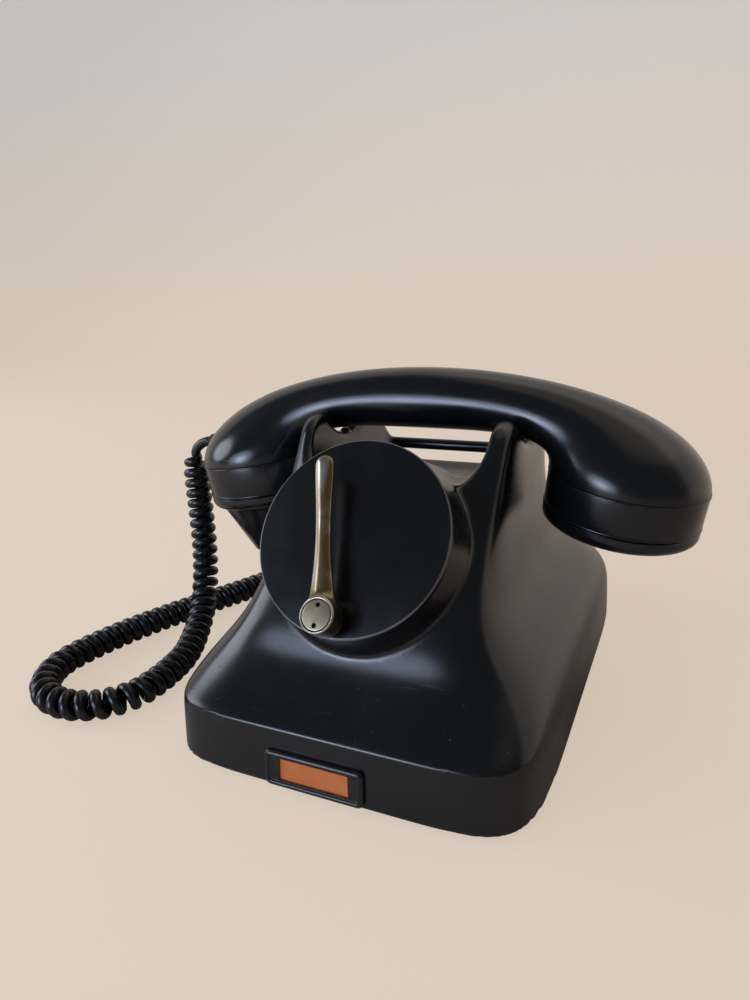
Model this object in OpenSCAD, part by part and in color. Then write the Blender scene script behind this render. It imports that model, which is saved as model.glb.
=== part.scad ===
// Bakelite desk telephone with a plain front disc and a hand crank for its magneto.
// Millimetres. +Z is up, the front faces -Y, and the origin is on the table under the base.

/* [Base and skirt] */
// Width of the base
base_w = 154; // [146:1:164]
// Depth of the base
base_d = 208; // [200:1:216]
// Height of the skirt's upper edge
skirt_h = 27; // [25:0.5:29]
// How far the skirt's sides lean in over their height
skirt_draft = 2; // [1:0.1:3]
// Gap between the skirt and the table
skirt_gap = 2; // [1.5:0.1:3]
// Squareness of the plan outline, 2 is an ellipse
plan_power = 7.6; // [6:0.1:9]
// Thickness of the moulded wall
wall = 4; // [3:0.1:4.5]

/* [Waist and forks] */
// Width of the waist between the flanks
waist_w = 95; // [93:0.5:98]
// Height over which the flanks flare out
flare_h = 29.3; // [26:0.1:32]
// Depth from the middle to the rear of the waist
waist_rear = 50; // [48:0.5:53]
// Height over which the rear flares out
rear_flare_h = 45; // [42:0.5:50]
// Height of the front prongs
prong_h = 121.5; // [119:0.5:125]
// Rise of the fork tops towards the rear, per millimetre
prong_rise = 0.06; // [0:0.01:0.08]
// Rounding of the prong tips
tip_round = 3; // [1.5:0.1:4]
// Width of the trough between the left and right prongs
trough_w = 77; // [75:0.5:78]
// Height of the trough floor at its front
trough_z = 101; // [100:0.5:103]
// Fall of the trough floor towards the rear, per millimetre
trough_fall = 0.09; // [0.06:0.01:0.1]
// Corner radius of the trough
trough_r = 20; // [16:0.5:22]
// Radius of the saddles that hold the handle
saddle_r = 25; // [24:0.5:26]
// Gap between the handle and the saddles
saddle_gap = 0.8; // [0.7:0.1:1.5]
// Thickness of the carrying bar
bar_t = 5.6; // [5:0.1:7]
// Length of the finger gap under the carrying bar
scoop_w = 64; // [56:1:68]
// Radius of the finger gap
scoop_r = 15; // [13:0.5:16]

/* [Front disc and crank] */
// Height of the disc's middle
disc_z = 91.5; // [90:0.5:93]
// From the base's front edge back to the disc's middle
disc_back = 34.3; // [33:0.1:36]
// Radius of the disc
disc_r = 38.2; // [37.6:0.1:39]
// Thickness of the disc
disc_t = 3; // [2.5:0.1:3.5]
// Angle by which the disc faces up
disc_rise = 36.87; // [35:0.5:39]
// Depth of the drum behind the disc
drum_d = 17; // [15:0.5:18]
// Overhang of the disc over its drum
disc_lip = 1.2; // [0.8:0.1:2]
// Fillet between the drum and the body
drum_fillet = 5; // [3:0.1:6]
// Distance of the crank axis below the disc's middle
crank_v = 32.1; // [31.5:0.1:32.3]
// Radius of the crank shaft
shaft_r = 2.5; // [2.2:0.1:2.7]
// Length of the crank from its axis to its tip
crank_len = 60; // [55:0.5:62]
// Lean of the resting crank to the left, in degrees
crank_lean = 12; // [0:1:20]
// Radius of the crank hub
hub_r = 7.6; // [7:0.1:8.5]

/* [Magneto] */
// Module of the gear teeth
gear_module = 0.8; // [0.75:0.01:0.82]
// Teeth of the drive gear
gear_teeth = 64; // [60:4:64]
// Teeth of the armature pinion
pinion_teeth = 16; // [16:4:16]
// Width of the gears
gear_w = 5; // [4:0.5:6]
// Play between the teeth
backlash = 0.25; // [0.2:0.01:0.35]
// Radius of the armature
armature_r = 11.5; // [10:0.1:12]
// Air gap round the armature
air_gap = 0.5; // [0.4:0.1:0.8]
// Distance between the magneto's bearing plates
magneto_len = 40; // [38:0.5:42]
// Thickness of the bearing plates
plate_t = 3; // [2:0.1:3.5]
// Width of the bearing plates
plate_w = 52; // [50:0.5:54]
// Thickness of the magnet bars
magnet_t = 6; // [5:0.1:7]

/* [Ringer] */
// Radius of the gongs
gong_r = 24; // [22:0.5:24.5]
// Distance of each gong from the middle
gong_x = 31; // [30.7:0.1:33]
// From the base's rear edge forward to the gongs' middles
gong_back = 42; // [40:0.5:44]
// Radius of the clapper ball
ball_r = 4.5; // [3.5:0.1:4.6]
// Radius of the ringer coils
coil_r = 9; // [8:0.1:10]
// Length of the ringer coils
coil_len = 25; // [22:0.5:26]

/* [Handset] */
// Distance of each cap's middle from the middle of the handle
cap_x = 87.2; // [86:0.1:89]
// Distance of the handset behind the origin
handset_y = 12; // [11.5:0.1:12.5]
// Height of the seam between handle and cap
cap_z = 97; // [96:0.5:98]
// Radius at the seam
cap_r = 32.2; // [31:0.1:33]
// Inward lean of the cap axes, in degrees
cap_lean = 8.4; // [7:0.1:9]
// Height of the top of the handle
handle_top = 141; // [139:0.5:143]
// Height of the underside of the handle
handle_under = 114.2; // [113.5:0.1:115]
// Width of the handle at its middle
handle_w = 31; // [28:0.5:33]
// Height of the ring below the seam
ring_h = 15.4; // [14:0.1:16]
// Taper of the ring's radius over its height
ring_taper = 0.3; // [0:0.1:1]
// Depth of the domed cover below the ring
cover_h = 9; // [8:0.1:10]
// Length of the mouthpiece horn
horn_len = 25; // [20:0.5:27]
// Radius of the horn at its open end
horn_r = 16.5; // [14:0.1:18]
// Wall of the horn
horn_wall = 2.6; // [2:0.1:3]

/* [Hook switch] */
// Distance of each plunger from the middle
plunger_x = 42.2; // [41.9:0.1:42.6]
// Radius of the plungers
plunger_r = 2; // [1.6:0.1:2.1]
// Height by which the resting plungers stand proud of the saddles
plunger_proud = 1.2; // [0.8:0.1:1.3]

/* [Label] */
// Width of the label frame
label_w = 40.6; // [36:0.1:44]
// Height of the label frame
label_h = 14.5; // [13:0.1:16]
// Thickness of the label frame
label_t = 2.2; // [1.8:0.1:2.6]
// Width of the card window
card_w = 28.6; // [26:0.1:30]
// Height of the card window
card_h = 9; // [8:0.1:9.5]
// Distance of the label to the left of the middle
label_left = 3.7; // [0:0.1:8]
// Height of the label's middle
label_z = 10; // [9.8:0.1:12]

/* [Handset cord] */
// Diameter of the wire
wire_d = 3.9; // [3.5:0.1:3.9]
// Outside diameter of the curls
curl_d = 13.4; // [12.6:0.1:13.6]
// Number of curls
curls = 76; // [68:1:76]

/* [Hidden] */
$fn = 64;

bakelite = "#15171a";
brass = "#9a8050";
steel = "#8d9094";
rubber = "#1c1c1c";
copper = "#8a4a2a";
card_orange = "#d9731a";

// Clearances: a running shaft, a seated piece, and a piece in a moulded hole.
run_gap = 0.05;
seat_gap = 0.02;
mould_gap = 0.3;

plan_points = 48;
both_sides = [-1, 1];

// The skirt's inward lean at a height.
function skirt_in(z) = skirt_draft * (z - skirt_gap) / (skirt_h - skirt_gap);

// The front slope lies parallel to the disc, the drum's depth behind it.
disc_y = base_d / 2 - disc_back;
slope_y = -disc_y + drum_d * cos(disc_rise);
slope_z = disc_z - drum_d * sin(disc_rise);
foot_flare = 5.4;
foot_flare_h = 2.7;
function slope_front(z) = slope_y + (z - slope_z) * tan(disc_rise)
    - foot_flare * exp(-(z - skirt_h) / foot_flare_h);

// Half width, front and rear of the moulded body at a height.
flare_start = skirt_h - 7;
rear_start = skirt_h - 5;
function bell(z, start, span) = exp(-pow(max(z - start, 0) / span, 2));
function flared(base, waist, z, start, span) =
    min(base - skirt_in(z), waist + (base - skirt_in(start) - waist) * bell(z, start, span));
function body_half(z) = z < flare_start ? base_w / 2 - skirt_in(z)
    : flared(base_w / 2, waist_w / 2, z, flare_start, flare_h);
function body_front(z) = max(-base_d / 2 + skirt_in(z), slope_front(z));
function body_rear(z) = z < rear_start ? base_d / 2 - skirt_in(z)
    : flared(base_d / 2, waist_rear, z, rear_start, rear_flare_h);

// Plan outline at a height, drawn in by an inset.
function signed_power(v, e) = sign(v) * pow(abs(v), e);
function plan_outline(half, front, rear) = [
    for (i = [0 : plan_points - 1])
        let (a = 360 * i / plan_points)
        [half * signed_power(cos(a), 2 / plan_power),
         (front + rear) / 2 + (rear - front) / 2 * signed_power(sin(a), 2 / plan_power)]
];
function body_outline(z, inset) =
    plan_outline(body_half(z) - inset, body_front(z) + inset / cos(disc_rise), body_rear(z) - inset);
// The fork tops rise towards the rear.
function fork_lift(z, y) = prong_rise * (y - slope_y) * max(0, z - trough_z) / (prong_h - trough_z);

// A skin over a stack of equal rings, closed at both ends, as points and triangles.
function skin_points(rings) = [for (ring = rings) each ring];
function skin_faces(count, n) = [
    for (i = [0 : count - 2], j = [0 : n - 1])
        let (a = i * n + j, b = i * n + (j + 1) % n, c = a + n, d = b + n)
        each [[a, c, b], [b, c, d]],
    for (j = [1 : n - 2]) [0, j, j + 1],
    for (j = [1 : n - 2]) let (o = (count - 1) * n) [o, o + j + 1, o + j]
];
module skin(rings) {
    polyhedron(skin_points(rings), skin_faces(len(rings), len(rings[0])), convexity = 6);
}

// Loft of the moulded body. The tips draw in over the last heights.
body_steps = [0, 1.2, 3.4, 6.5, 11, 17, 24, 33, 44, 56, 67];
tip_steps = [[1, 0], [0.45, 0.16], [0.12, 0.5], [0, 1]];
function body_ring(z, inset) = [for (p = body_outline(z, inset)) [p[0], p[1], z + fork_lift(z, p[1])]];
module body_outer() {
    heights = [skirt_gap, skirt_h - 4, skirt_h - 1.2, for (s = body_steps) skirt_h + s];
    skin([
        for (z = heights) body_ring(z, 0),
        for (t = tip_steps) body_ring(prong_h - t[0] * tip_round, t[1] * tip_round)
    ]);
}
module body_inner() {
    below = 5;
    skin([
        for (z = [skirt_gap - below, skirt_h - 4, for (s = body_steps) skirt_h + s])
            [for (p = body_outline(max(z, skirt_gap), wall)) [p[0], p[1], z]]
    ]);
}

// Frames that the fixed pieces are set out in.
module on_disc(v = 0) {
    translate([0, -disc_y, disc_z]) rotate([90 - disc_rise, 0, 0]) translate([0, v, 0]) children();
}
module on_label() {
    lean = atan(skirt_draft / (skirt_h - skirt_gap));
    translate([-label_left, -base_d / 2 + skirt_in(label_z), label_z]) rotate([90 - lean, 0, 0]) children();
}
module on_cap(side) {
    translate([side * cap_x, handset_y, cap_z]) rotate([0, side * cap_lean, 0]) children();
}
module along_x(len, r) {
    rotate([0, 90, 0]) cylinder(h = len, r = r, center = true);
}
module along_y(len, r) {
    rotate([-90, 0, 0]) cylinder(h = len, r = r);
}
module on_trough() {
    translate([0, slope_y, trough_z]) rotate([-atan(trough_fall), 0, 0]) children();
}
function trough_floor(y) = trough_z - trough_fall * (y - slope_y);

// Trough between the left and right prongs, and the solid above its floor.
trough_len = 2 * base_d;
module trough() {
    on_trough() hull()
        for (side = both_sides, up = [0, prong_h])
            translate([side * (trough_w / 2 - trough_r), -trough_len / 2, trough_r + up])
                along_y(trough_len, trough_r, $fn = 32);
}
module above_deck() {
    on_trough() translate([-base_w, -base_d, -wall]) cube([2 * base_w, 2 * base_d, prong_h]);
}

// Saddles that the handle lies in, just under the handle's lowest line at the forks.
neck_power = 3.6;
neck_x = cap_x - cap_r * cos(cap_lean);
neck_z = cap_z + cap_r * sin(cap_lean);
function handle_low(x) = neck_z
    + (handle_under - neck_z) * pow(1 - pow(x / neck_x, neck_power), 1 / neck_power);
saddle_z = handle_low(waist_w / 2) - saddle_gap;
module saddles() {
    hull()
        for (up = [0, prong_h])
            translate([0, handset_y, saddle_z + saddle_r + up]) along_x(base_w, saddle_r, $fn = 40);
}

// Finger gap under the carrying bar, and the bar.
bar_y = waist_rear - bar_t / 2 - 1.2;
bar_z = trough_floor(bar_y) + bar_t;
module scoop_pocket(grow) {
    hull()
        for (side = both_sides, back = [0, scoop_r])
            translate([side * (scoop_w / 2 - scoop_r), bar_y + scoop_r / 3 + back, bar_z - scoop_r / 2])
                sphere(r = scoop_r + grow, $fn = 20);
}
module carrying_bar() {
    hull()
        for (side = both_sides)
            translate([side * (trough_w / 2 + wall / 2), bar_y, bar_z]) sphere(r = bar_t / 2, $fn = 12);
}

// Drum behind the disc, its fillet, and its bore.
drum_r = disc_r - disc_lip;
drum_bore_r = drum_r - wall;
drum_len = 38;
module drum() {
    on_disc() translate([0, 0, -drum_len]) cylinder(h = drum_len - disc_t - seat_gap, r = drum_r, $fn = 60);
}
module drum_fillet_ring() {
    steps = 5;
    sink = 0.4;
    on_disc() rotate_extrude($fn = 60)
        polygon([
            [drum_bore_r - wall, -drum_d - wall],
            [drum_bore_r - wall, -drum_d + drum_fillet],
            for (i = [0 : steps])
                let (a = 90 * i / steps)
                [drum_r - sink + (drum_fillet + sink) * (1 - cos(a)), -drum_d + drum_fillet * (1 - sin(a))],
            [drum_r + drum_fillet, -drum_d - wall]
        ]);
}
module drum_bore() {
    on_disc() translate([0, 0, -drum_len]) cylinder(h = drum_len, r = drum_bore_r, $fn = 60);
}

// Screw bosses, each webbed to the skirt's corner.
boss_r = 5;
boss_x = base_w / 2 - 15;
boss_y = base_d / 2 - 16;
screw_r = 1.5;
plate_z = 4;
base_plate_t = 2;
floor_z = plate_z + base_plate_t;
boss_top = skirt_h;
module bosses() {
    for (sx = both_sides, sy = both_sides)
        hull() {
            translate([sx * boss_x, sy * boss_y, floor_z])
                cylinder(h = boss_top - floor_z, r = boss_r, $fn = 16);
            translate([sx * (boss_x + boss_r), sy * (boss_y + boss_r / 2), floor_z])
                cylinder(h = boss_top - floor_z, r = boss_r / 2, $fn = 12);
        }
}
module boss_holes() {
    for (sx = both_sides, sy = both_sides)
        translate([sx * boss_x, sy * boss_y, floor_z - 1])
            cylinder(h = boss_top - floor_z - 2, r = screw_r + mould_gap, $fn = 16);
}

// Cord inlets through the rear of the skirt.
inlet_x = 45;
inlet_z = 14;
inlet_r = 6;
inlet_bore_r = 3.2;
inlet_flange_r = 8.5;
inlet_flange_t = 1.8;
inlet_y = base_d / 2 - skirt_in(inlet_z - inlet_flange_r);
module inlet_holes() {
    for (side = both_sides)
        translate([side * inlet_x, base_d / 2 - 4 * wall, inlet_z])
            along_y(8 * wall, inlet_r + mould_gap, $fn = 24);
}

// Plunger bushes set in the saddles.
bush_wall = 0.9;
bush_r = plunger_r + run_gap + bush_wall;
bush_len = 10;
bush_z = saddle_z - bush_len - 0.4;
plunger_top = saddle_z + plunger_proud;
module plunger_holes() {
    for (side = both_sides)
        translate([side * plunger_x, handset_y, bush_z - 2 * bush_len])
            cylinder(h = 4 * bush_len, r = bush_r + mould_gap, $fn = 20);
}

// Crank bush in the disc, and the room that it needs in the drum wall.
spigot_h = 4;
crank_bush_wall = 0.9;
crank_bush_r = shaft_r + run_gap + crank_bush_wall;
crank_bush_len = disc_t + spigot_h;
module crank_passage() {
    on_disc(-crank_v) translate([0, 0, -drum_len])
        cylinder(h = drum_len, r = crank_bush_r + mould_gap, $fn = 24);
}

// Moulded body: a hollow shell, open below, with four prongs, trough, saddles and carrying bar.
module housing() {
    color(bakelite) difference() {
        union() {
            difference() {
                union() {
                    body_outer();
                    drum_fillet_ring();
                }
                trough();
                saddles();
                scoop_pocket(0);
            }
            drum();
            carrying_bar();
        }
        difference() {
            union() {
                difference() {
                    body_inner();
                    above_deck();
                }
                drum_bore();
            }
            scoop_pocket(wall);
            bosses();
        }
        boss_holes();
        inlet_holes();
        plunger_holes();
        crank_passage();
    }
}

// Pressed steel floor of the base, screwed up into the bosses.
module base_plate() {
    color(steel) translate([0, 0, plate_z]) difference() {
        linear_extrude(base_plate_t) polygon(body_outline(plate_z + base_plate_t, wall + mould_gap));
        for (sx = both_sides, sy = both_sides)
            translate([sx * boss_x, sy * boss_y, -1]) cylinder(h = base_plate_t + 2, r = screw_r + mould_gap);
    }
}

// Rubber feet stuck under the floor.
foot_r = 8;
foot_in_x = 24;
foot_in_y = 26;
foot_x = base_w / 2 - foot_in_x;
foot_y = base_d / 2 - foot_in_y;
module rubber_feet() {
    bevel = 1;
    color(rubber) for (sx = both_sides, sy = both_sides)
        translate([sx * foot_x, sy * foot_y, 0]) rotate_extrude()
            polygon([[0, 0], [foot_r - bevel, 0], [foot_r, bevel], [foot_r, plate_z], [0, plate_z]]);
}

// Screws that hold the floor.
module base_screws() {
    head_t = 1.8;
    color(steel) for (sx = both_sides, sy = both_sides)
        translate([sx * boss_x, sy * boss_y, plate_z]) {
            translate([0, 0, -head_t]) cylinder(h = head_t, r = 2 * screw_r);
            cylinder(h = boss_top - plate_z - 6, r = screw_r);
        }
}

// Plain disc that closes the drum, spigoted into its bore.
module front_disc() {
    chamfer = 0.6;
    spigot_r = drum_bore_r - mould_gap;
    color("#1b1d20") on_disc() difference() {
        rotate_extrude($fn = 96)
            polygon([
                [0, -disc_t - spigot_h], [spigot_r, -disc_t - spigot_h], [spigot_r, -disc_t],
                [disc_r, -disc_t], [disc_r, -chamfer], [disc_r - chamfer, 0], [0, 0]
            ]);
        translate([0, -crank_v, -disc_t - spigot_h - 1])
            cylinder(h = disc_t + spigot_h + 2, r = crank_bush_r + seat_gap);
    }
}

// Flanged brass bush that the crank shaft runs in.
bush_flange_t = 3;
module crank_bush() {
    color(brass) on_disc(-crank_v) difference() {
        union() {
            translate([0, 0, seat_gap]) cylinder(h = bush_flange_t, r = crank_bush_r + 1.2);
            translate([0, 0, -crank_bush_len])
                cylinder(h = crank_bush_len + bush_flange_t / 2, r = crank_bush_r);
        }
        translate([0, 0, -crank_bush_len - 1])
            cylinder(h = crank_bush_len + bush_flange_t + 2, r = shaft_r + run_gap);
    }
}

// Crank: a hub with a slim blade that swells towards its tip.
hub_z = bush_flange_t + 0.4;
hub_t = 8.6;
nut_t = 1.6;
nut_r = hub_r - 1.6;
blade_z = hub_z + 5;
module blade_knob(along, half_w, half_t, up) {
    translate([0, along, blade_z + up]) scale([half_w, half_w, half_t]) sphere(r = 1, $fn = 16);
}
module crank_lever() {
    neck_at = 0.26 * crank_len;
    mid_at = 0.6 * crank_len;
    tip_half = 4;
    color(brass) on_disc(-crank_v) rotate([0, 0, crank_lean]) difference() {
        union() {
            translate([0, 0, hub_z]) cylinder(h = hub_t, r = hub_r);
            hull() {
                blade_knob(hub_r / 2, 4.6, 2.2, 0);
                blade_knob(neck_at, 3, 2, 0.4);
            }
            hull() {
                blade_knob(neck_at, 3, 2, 0.4);
                blade_knob(mid_at, 3.1, 1.8, 1.4);
            }
            hull() {
                blade_knob(mid_at, 3.1, 1.8, 1.4);
                blade_knob(crank_len - tip_half, tip_half, 1.5, 2.6);
            }
        }
        translate([0, 0, hub_z - 1]) cylinder(h = hub_t + 4, r = shaft_r + seat_gap);
    }
}

// Round nut with two spanner holes, on the shaft's end.
module crank_nut() {
    spanner_r = 0.9;
    spanner_turn = -10;
    color(brass) on_disc(-crank_v) rotate([0, 0, crank_lean + spanner_turn])
        translate([0, 0, hub_z + hub_t + seat_gap]) difference() {
            cylinder(h = nut_t, r = nut_r);
            for (side = both_sides)
                translate([0, side * nut_r * 0.6, -1]) cylinder(h = nut_t + 2, r = spanner_r);
        }
}

// Places along the disc's axis, measured back from its face.
gear_front = drum_d + wall + 3;
plate_front = gear_front + gear_w + 4;
armature_front = plate_front + plate_t;
armature_rear = armature_front + magneto_len;
gear_distance = gear_module * (gear_teeth + pinion_teeth) / 2;
armature_v = gear_distance - crank_v;
armature_shaft_r = 2.5;

// Steel shaft from the crank to the drive gear.
module crank_shaft() {
    rear = plate_front + plate_t + 2;
    color(steel) on_disc(-crank_v) translate([0, 0, -rear])
        cylinder(h = rear + hub_z + hub_t - 0.2, r = shaft_r);
}

// Spur gear outline with involute flanks.
pressure = 20;
flank_steps = 4;
function involute_angle(base, r) = let (q = sqrt(max(pow(r / base, 2) - 1, 0))) q * 180 / PI - atan(q);
function tooth_half(teeth, r) =
    let (pitch = gear_module * teeth / 2, base = pitch * cos(pressure))
    (90 - backlash * 90 / (PI * gear_module / 2)) / teeth
        + involute_angle(base, pitch) - involute_angle(base, max(r, base));
module gear_outline(teeth) {
    pitch = gear_module * teeth / 2;
    base = pitch * cos(pressure);
    tip = pitch + 0.9 * gear_module;
    root = pitch - 1.25 * gear_module;
    start = max(base, root);
    radii = [root, for (i = [0 : flank_steps]) start + (tip - start) * i / flank_steps];
    polygon([
        for (k = [0 : teeth - 1])
            each [
                for (i = [0 : flank_steps + 1])
                    let (r = radii[i], a = 360 * k / teeth - tooth_half(teeth, r)) [r * cos(a), r * sin(a)],
                for (i = [flank_steps + 1 : -1 : 0])
                    let (r = radii[i], a = 360 * k / teeth + tooth_half(teeth, r)) [r * cos(a), r * sin(a)]
            ]
    ]);
}

// Drive gear on the crank shaft.
module drive_gear() {
    color(brass) on_disc(-crank_v) translate([0, 0, -gear_front - gear_w]) difference() {
        linear_extrude(gear_w) gear_outline(gear_teeth);
        translate([0, 0, -1]) cylinder(h = gear_w + 2, r = shaft_r + seat_gap);
        for (k = [0 : 4])
            rotate([0, 0, 72 * k + 36]) translate([gear_module * gear_teeth * 0.3, 0, -1])
                cylinder(h = gear_w + 2, r = 5);
    }
}

// Bearing plates, which stand on the floor at the disc's angle.
plate_top = 20;
plate_reach = 120;
bearing_wall = 2.4;
crank_bearing_r = shaft_r + run_gap + bearing_wall;
armature_bearing_r = armature_shaft_r + run_gap + bearing_wall;
module below_floor() {
    translate([-base_w, -base_d, floor_z - base_d]) cube([2 * base_w, 2 * base_d, base_d + seat_gap]);
}
module bearing_plate(back, crank_hole) {
    difference() {
        on_disc() translate([0, 0, -back - plate_t]) difference() {
            translate([-plate_w / 2, -plate_reach, 0]) cube([plate_w, plate_reach + plate_top, plate_t]);
            translate([0, armature_v, -1]) cylinder(h = plate_t + 2, r = armature_bearing_r + seat_gap);
            if (crank_hole)
                translate([0, -crank_v, -1]) cylinder(h = plate_t + 2, r = crank_bearing_r + seat_gap);
        }
        below_floor();
    }
}
module magneto_front_plate() {
    color(steel) bearing_plate(plate_front, true);
}
module magneto_rear_plate() {
    color(steel) bearing_plate(armature_rear, false);
}

// Bronze bushes in the plates.
module bearing_bush(v, back, bore, r) {
    on_disc(v) translate([0, 0, -back - plate_t]) difference() {
        cylinder(h = plate_t, r = r);
        translate([0, 0, -1]) cylinder(h = plate_t + 2, r = bore + run_gap);
    }
}
module bearing_bushes() {
    color(brass) {
        bearing_bush(-crank_v, plate_front, shaft_r, crank_bearing_r);
        bearing_bush(armature_v, plate_front, armature_shaft_r, armature_bearing_r);
        bearing_bush(armature_v, armature_rear, armature_shaft_r, armature_bearing_r);
    }
}

// Pole shoes round the armature, clamped between the plates.
pole_bore_r = armature_r + air_gap;
pole_r = pole_bore_r + 7;
pole_drop = 12;
pole_slot = 10;
module pole_outline(r) {
    intersection() {
        circle(r);
        translate([-r, 0]) square([2 * r, r]);
    }
    translate([-r, -pole_drop]) square([2 * r, pole_drop]);
}
module pole_shoes() {
    color(steel) on_disc(armature_v) translate([0, 0, -armature_rear + seat_gap])
        linear_extrude(magneto_len - 2 * seat_gap) difference() {
            pole_outline(pole_r);
            circle(pole_bore_r);
            square([pole_slot, 4 * pole_r], center = true);
        }
}

// Three horseshoe magnets over the pole shoes.
magnet_count = 3;
magnet_gap = 1.5;
module magnets() {
    magnet_w = (magneto_len - (magnet_count + 1) * magnet_gap) / magnet_count;
    color("#6e2b26") for (k = [0 : magnet_count - 1])
        on_disc(armature_v)
            translate([0, 0, -armature_rear + magnet_gap + k * (magnet_w + magnet_gap)])
                linear_extrude(magnet_w) difference() {
                    pole_outline(pole_r + magnet_t);
                    pole_outline(pole_r + run_gap);
                }
}

// Shuttle armature with its winding, shaft and pinion.
armature_len = magneto_len - 4;
slot_w = 13;
web_t = 7;
module armature_slots(gap) {
    for (side = both_sides)
        translate([side > 0 ? web_t / 2 + gap : -armature_r - web_t / 2 - gap, -slot_w / 2 + gap])
            square([armature_r, slot_w - 2 * gap]);
}
module armature_core() {
    color(steel) on_disc(armature_v) translate([0, 0, -armature_rear + 2]) difference() {
        linear_extrude(armature_len) difference() {
            circle(armature_r);
            armature_slots(0);
        }
        translate([0, 0, -1]) cylinder(h = armature_len + 2, r = armature_shaft_r + seat_gap);
    }
}
module armature_winding() {
    color(copper) on_disc(armature_v) translate([0, 0, -armature_rear + 3])
        linear_extrude(armature_len - 2) intersection() {
            circle(armature_r - 1);
            armature_slots(seat_gap);
        }
}
module armature_shaft() {
    color(steel) on_disc(armature_v) translate([0, 0, -armature_rear - plate_t - 2])
        cylinder(h = armature_rear + plate_t + 2 - gear_front + 1, r = armature_shaft_r);
}
module armature_pinion() {
    color(brass) on_disc(armature_v) translate([0, 0, -gear_front - gear_w]) difference() {
        rotate([0, 0, 180 / pinion_teeth]) linear_extrude(gear_w) gear_outline(pinion_teeth);
        translate([0, 0, -1]) cylinder(h = gear_w + 2, r = armature_shaft_r + seat_gap);
    }
}

// Two gongs on posts, with their nuts.
gong_rim_z = 16;
gong_h = 14;
gong_t = 1.6;
gong_hole_r = 2.6;
gong_flat_r = 6;
gong_steps = 8;
gong_top = gong_rim_z + gong_h;
gong_y = base_d / 2 - gong_back;
module gongs() {
    color("#a9a48f") for (side = both_sides)
        translate([side * gong_x, gong_y, gong_rim_z]) rotate_extrude()
            polygon([
                for (i = [0 : gong_steps])
                    let (a = 90 * i / gong_steps)
                    [gong_flat_r + (gong_r - gong_flat_r) * cos(a), gong_h * sin(a)],
                [gong_hole_r, gong_h], [gong_hole_r, gong_h - gong_t],
                for (i = [gong_steps : -1 : 0])
                    let (a = 90 * i / gong_steps)
                    [gong_flat_r + (gong_r - gong_t - gong_flat_r) * cos(a), (gong_h - gong_t) * sin(a)]
            ]);
}
stud_r = gong_hole_r - 0.1;
nut_h = 2.4;
module gong_posts() {
    post_r = 4;
    color(steel) for (side = both_sides)
        translate([side * gong_x, gong_y, floor_z + seat_gap]) {
            cylinder(h = gong_top - gong_t - floor_z - 2 * seat_gap, r = post_r);
            cylinder(h = gong_top + nut_h - floor_z, r = stud_r);
        }
}
module gong_nuts() {
    across_corners = 9.2;
    color(steel) for (side = both_sides)
        translate([side * gong_x, gong_y, gong_top + seat_gap]) difference() {
            cylinder(h = nut_h, r = across_corners / 2, $fn = 6);
            translate([0, 0, -1]) cylinder(h = nut_h + 2, r = stud_r + seat_gap);
        }
}

// Ringer coils on their cores and yoke.
coil_x = 13;
coil_z = 21;
coil_y = 0;
core_r = 3;
yoke_t = 4;
module ringer_coils() {
    color(copper) for (side = both_sides)
        translate([side * coil_x, coil_y + seat_gap, coil_z]) difference() {
            along_y(coil_len, coil_r);
            translate([0, -1, 0]) along_y(coil_len + 2, core_r + seat_gap);
        }
}
module ringer_cores() {
    color(steel) for (side = both_sides)
        translate([side * coil_x, coil_y + seat_gap, coil_z]) along_y(coil_len + 1.5, core_r);
}
module ringer_yoke() {
    half = coil_x + coil_r + 2;
    color(steel) translate([-half, coil_y - yoke_t, floor_z + seat_gap])
        cube([2 * half, yoke_t, coil_z + coil_r - floor_z]);
}

// Clapper: an armature bar and arm on a pin, with a ball between the gongs.
pin_y = coil_y + coil_len + 9;
pin_r = 1.5;
arm_z = 18;
arm_h = 6;
arm_bar_gap = 2;
module clapper_pin() {
    color(steel) translate([0, pin_y, floor_z + seat_gap]) {
        cylinder(h = arm_z - floor_z - 0.3, r = 2 * pin_r);
        cylinder(h = arm_z + arm_h + 2 - floor_z, r = pin_r);
    }
}
module clapper_arm() {
    bar_half = coil_x + core_r + 3;
    bar_front = coil_y + coil_len + 1.5 + arm_bar_gap;
    rod_h = 2.4;
    color(steel) difference() {
        union() {
            translate([0, pin_y, arm_z]) cylinder(h = arm_h, r = 4);
            translate([-bar_half, bar_front, arm_z]) cube([2 * bar_half, 3, arm_h]);
            translate([-2, bar_front + 1, arm_z]) cube([4, pin_y - bar_front, arm_h]);
            translate([-1, pin_y + 2, arm_z + arm_h / 2 - rod_h / 2])
                cube([2, gong_y - ball_r - pin_y - 1.7, rod_h]);
        }
        translate([0, pin_y, arm_z - 1]) cylinder(h = arm_h + 2, r = pin_r + run_gap);
    }
}
module clapper_ball() {
    color(brass) difference() {
        translate([0, gong_y, arm_z + arm_h / 2]) sphere(r = ball_r);
        translate([-base_w / 2, gong_y - ball_r - base_d, 0]) cube([base_w, base_d + 0.4, base_w]);
    }
}

// Induction coil and capacitor beside the magneto.
side_x = 52;
side_front = -30;
module induction_coil() {
    cheek = 22;
    cheek_t = 3;
    length = 46;
    color(copper) translate([-side_x, side_front, floor_z + seat_gap + cheek / 2]) {
        along_y(length, cheek / 2 - 2);
        for (y = [0, length - cheek_t])
            translate([-cheek / 2, y, -cheek / 2]) cube([cheek, cheek_t, cheek]);
    }
}
module capacitor() {
    side = 18;
    length = 40;
    color("#777b70") translate([side_x - side / 2, side_front, floor_z + seat_gap])
        cube([side, length, side]);
}

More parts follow.
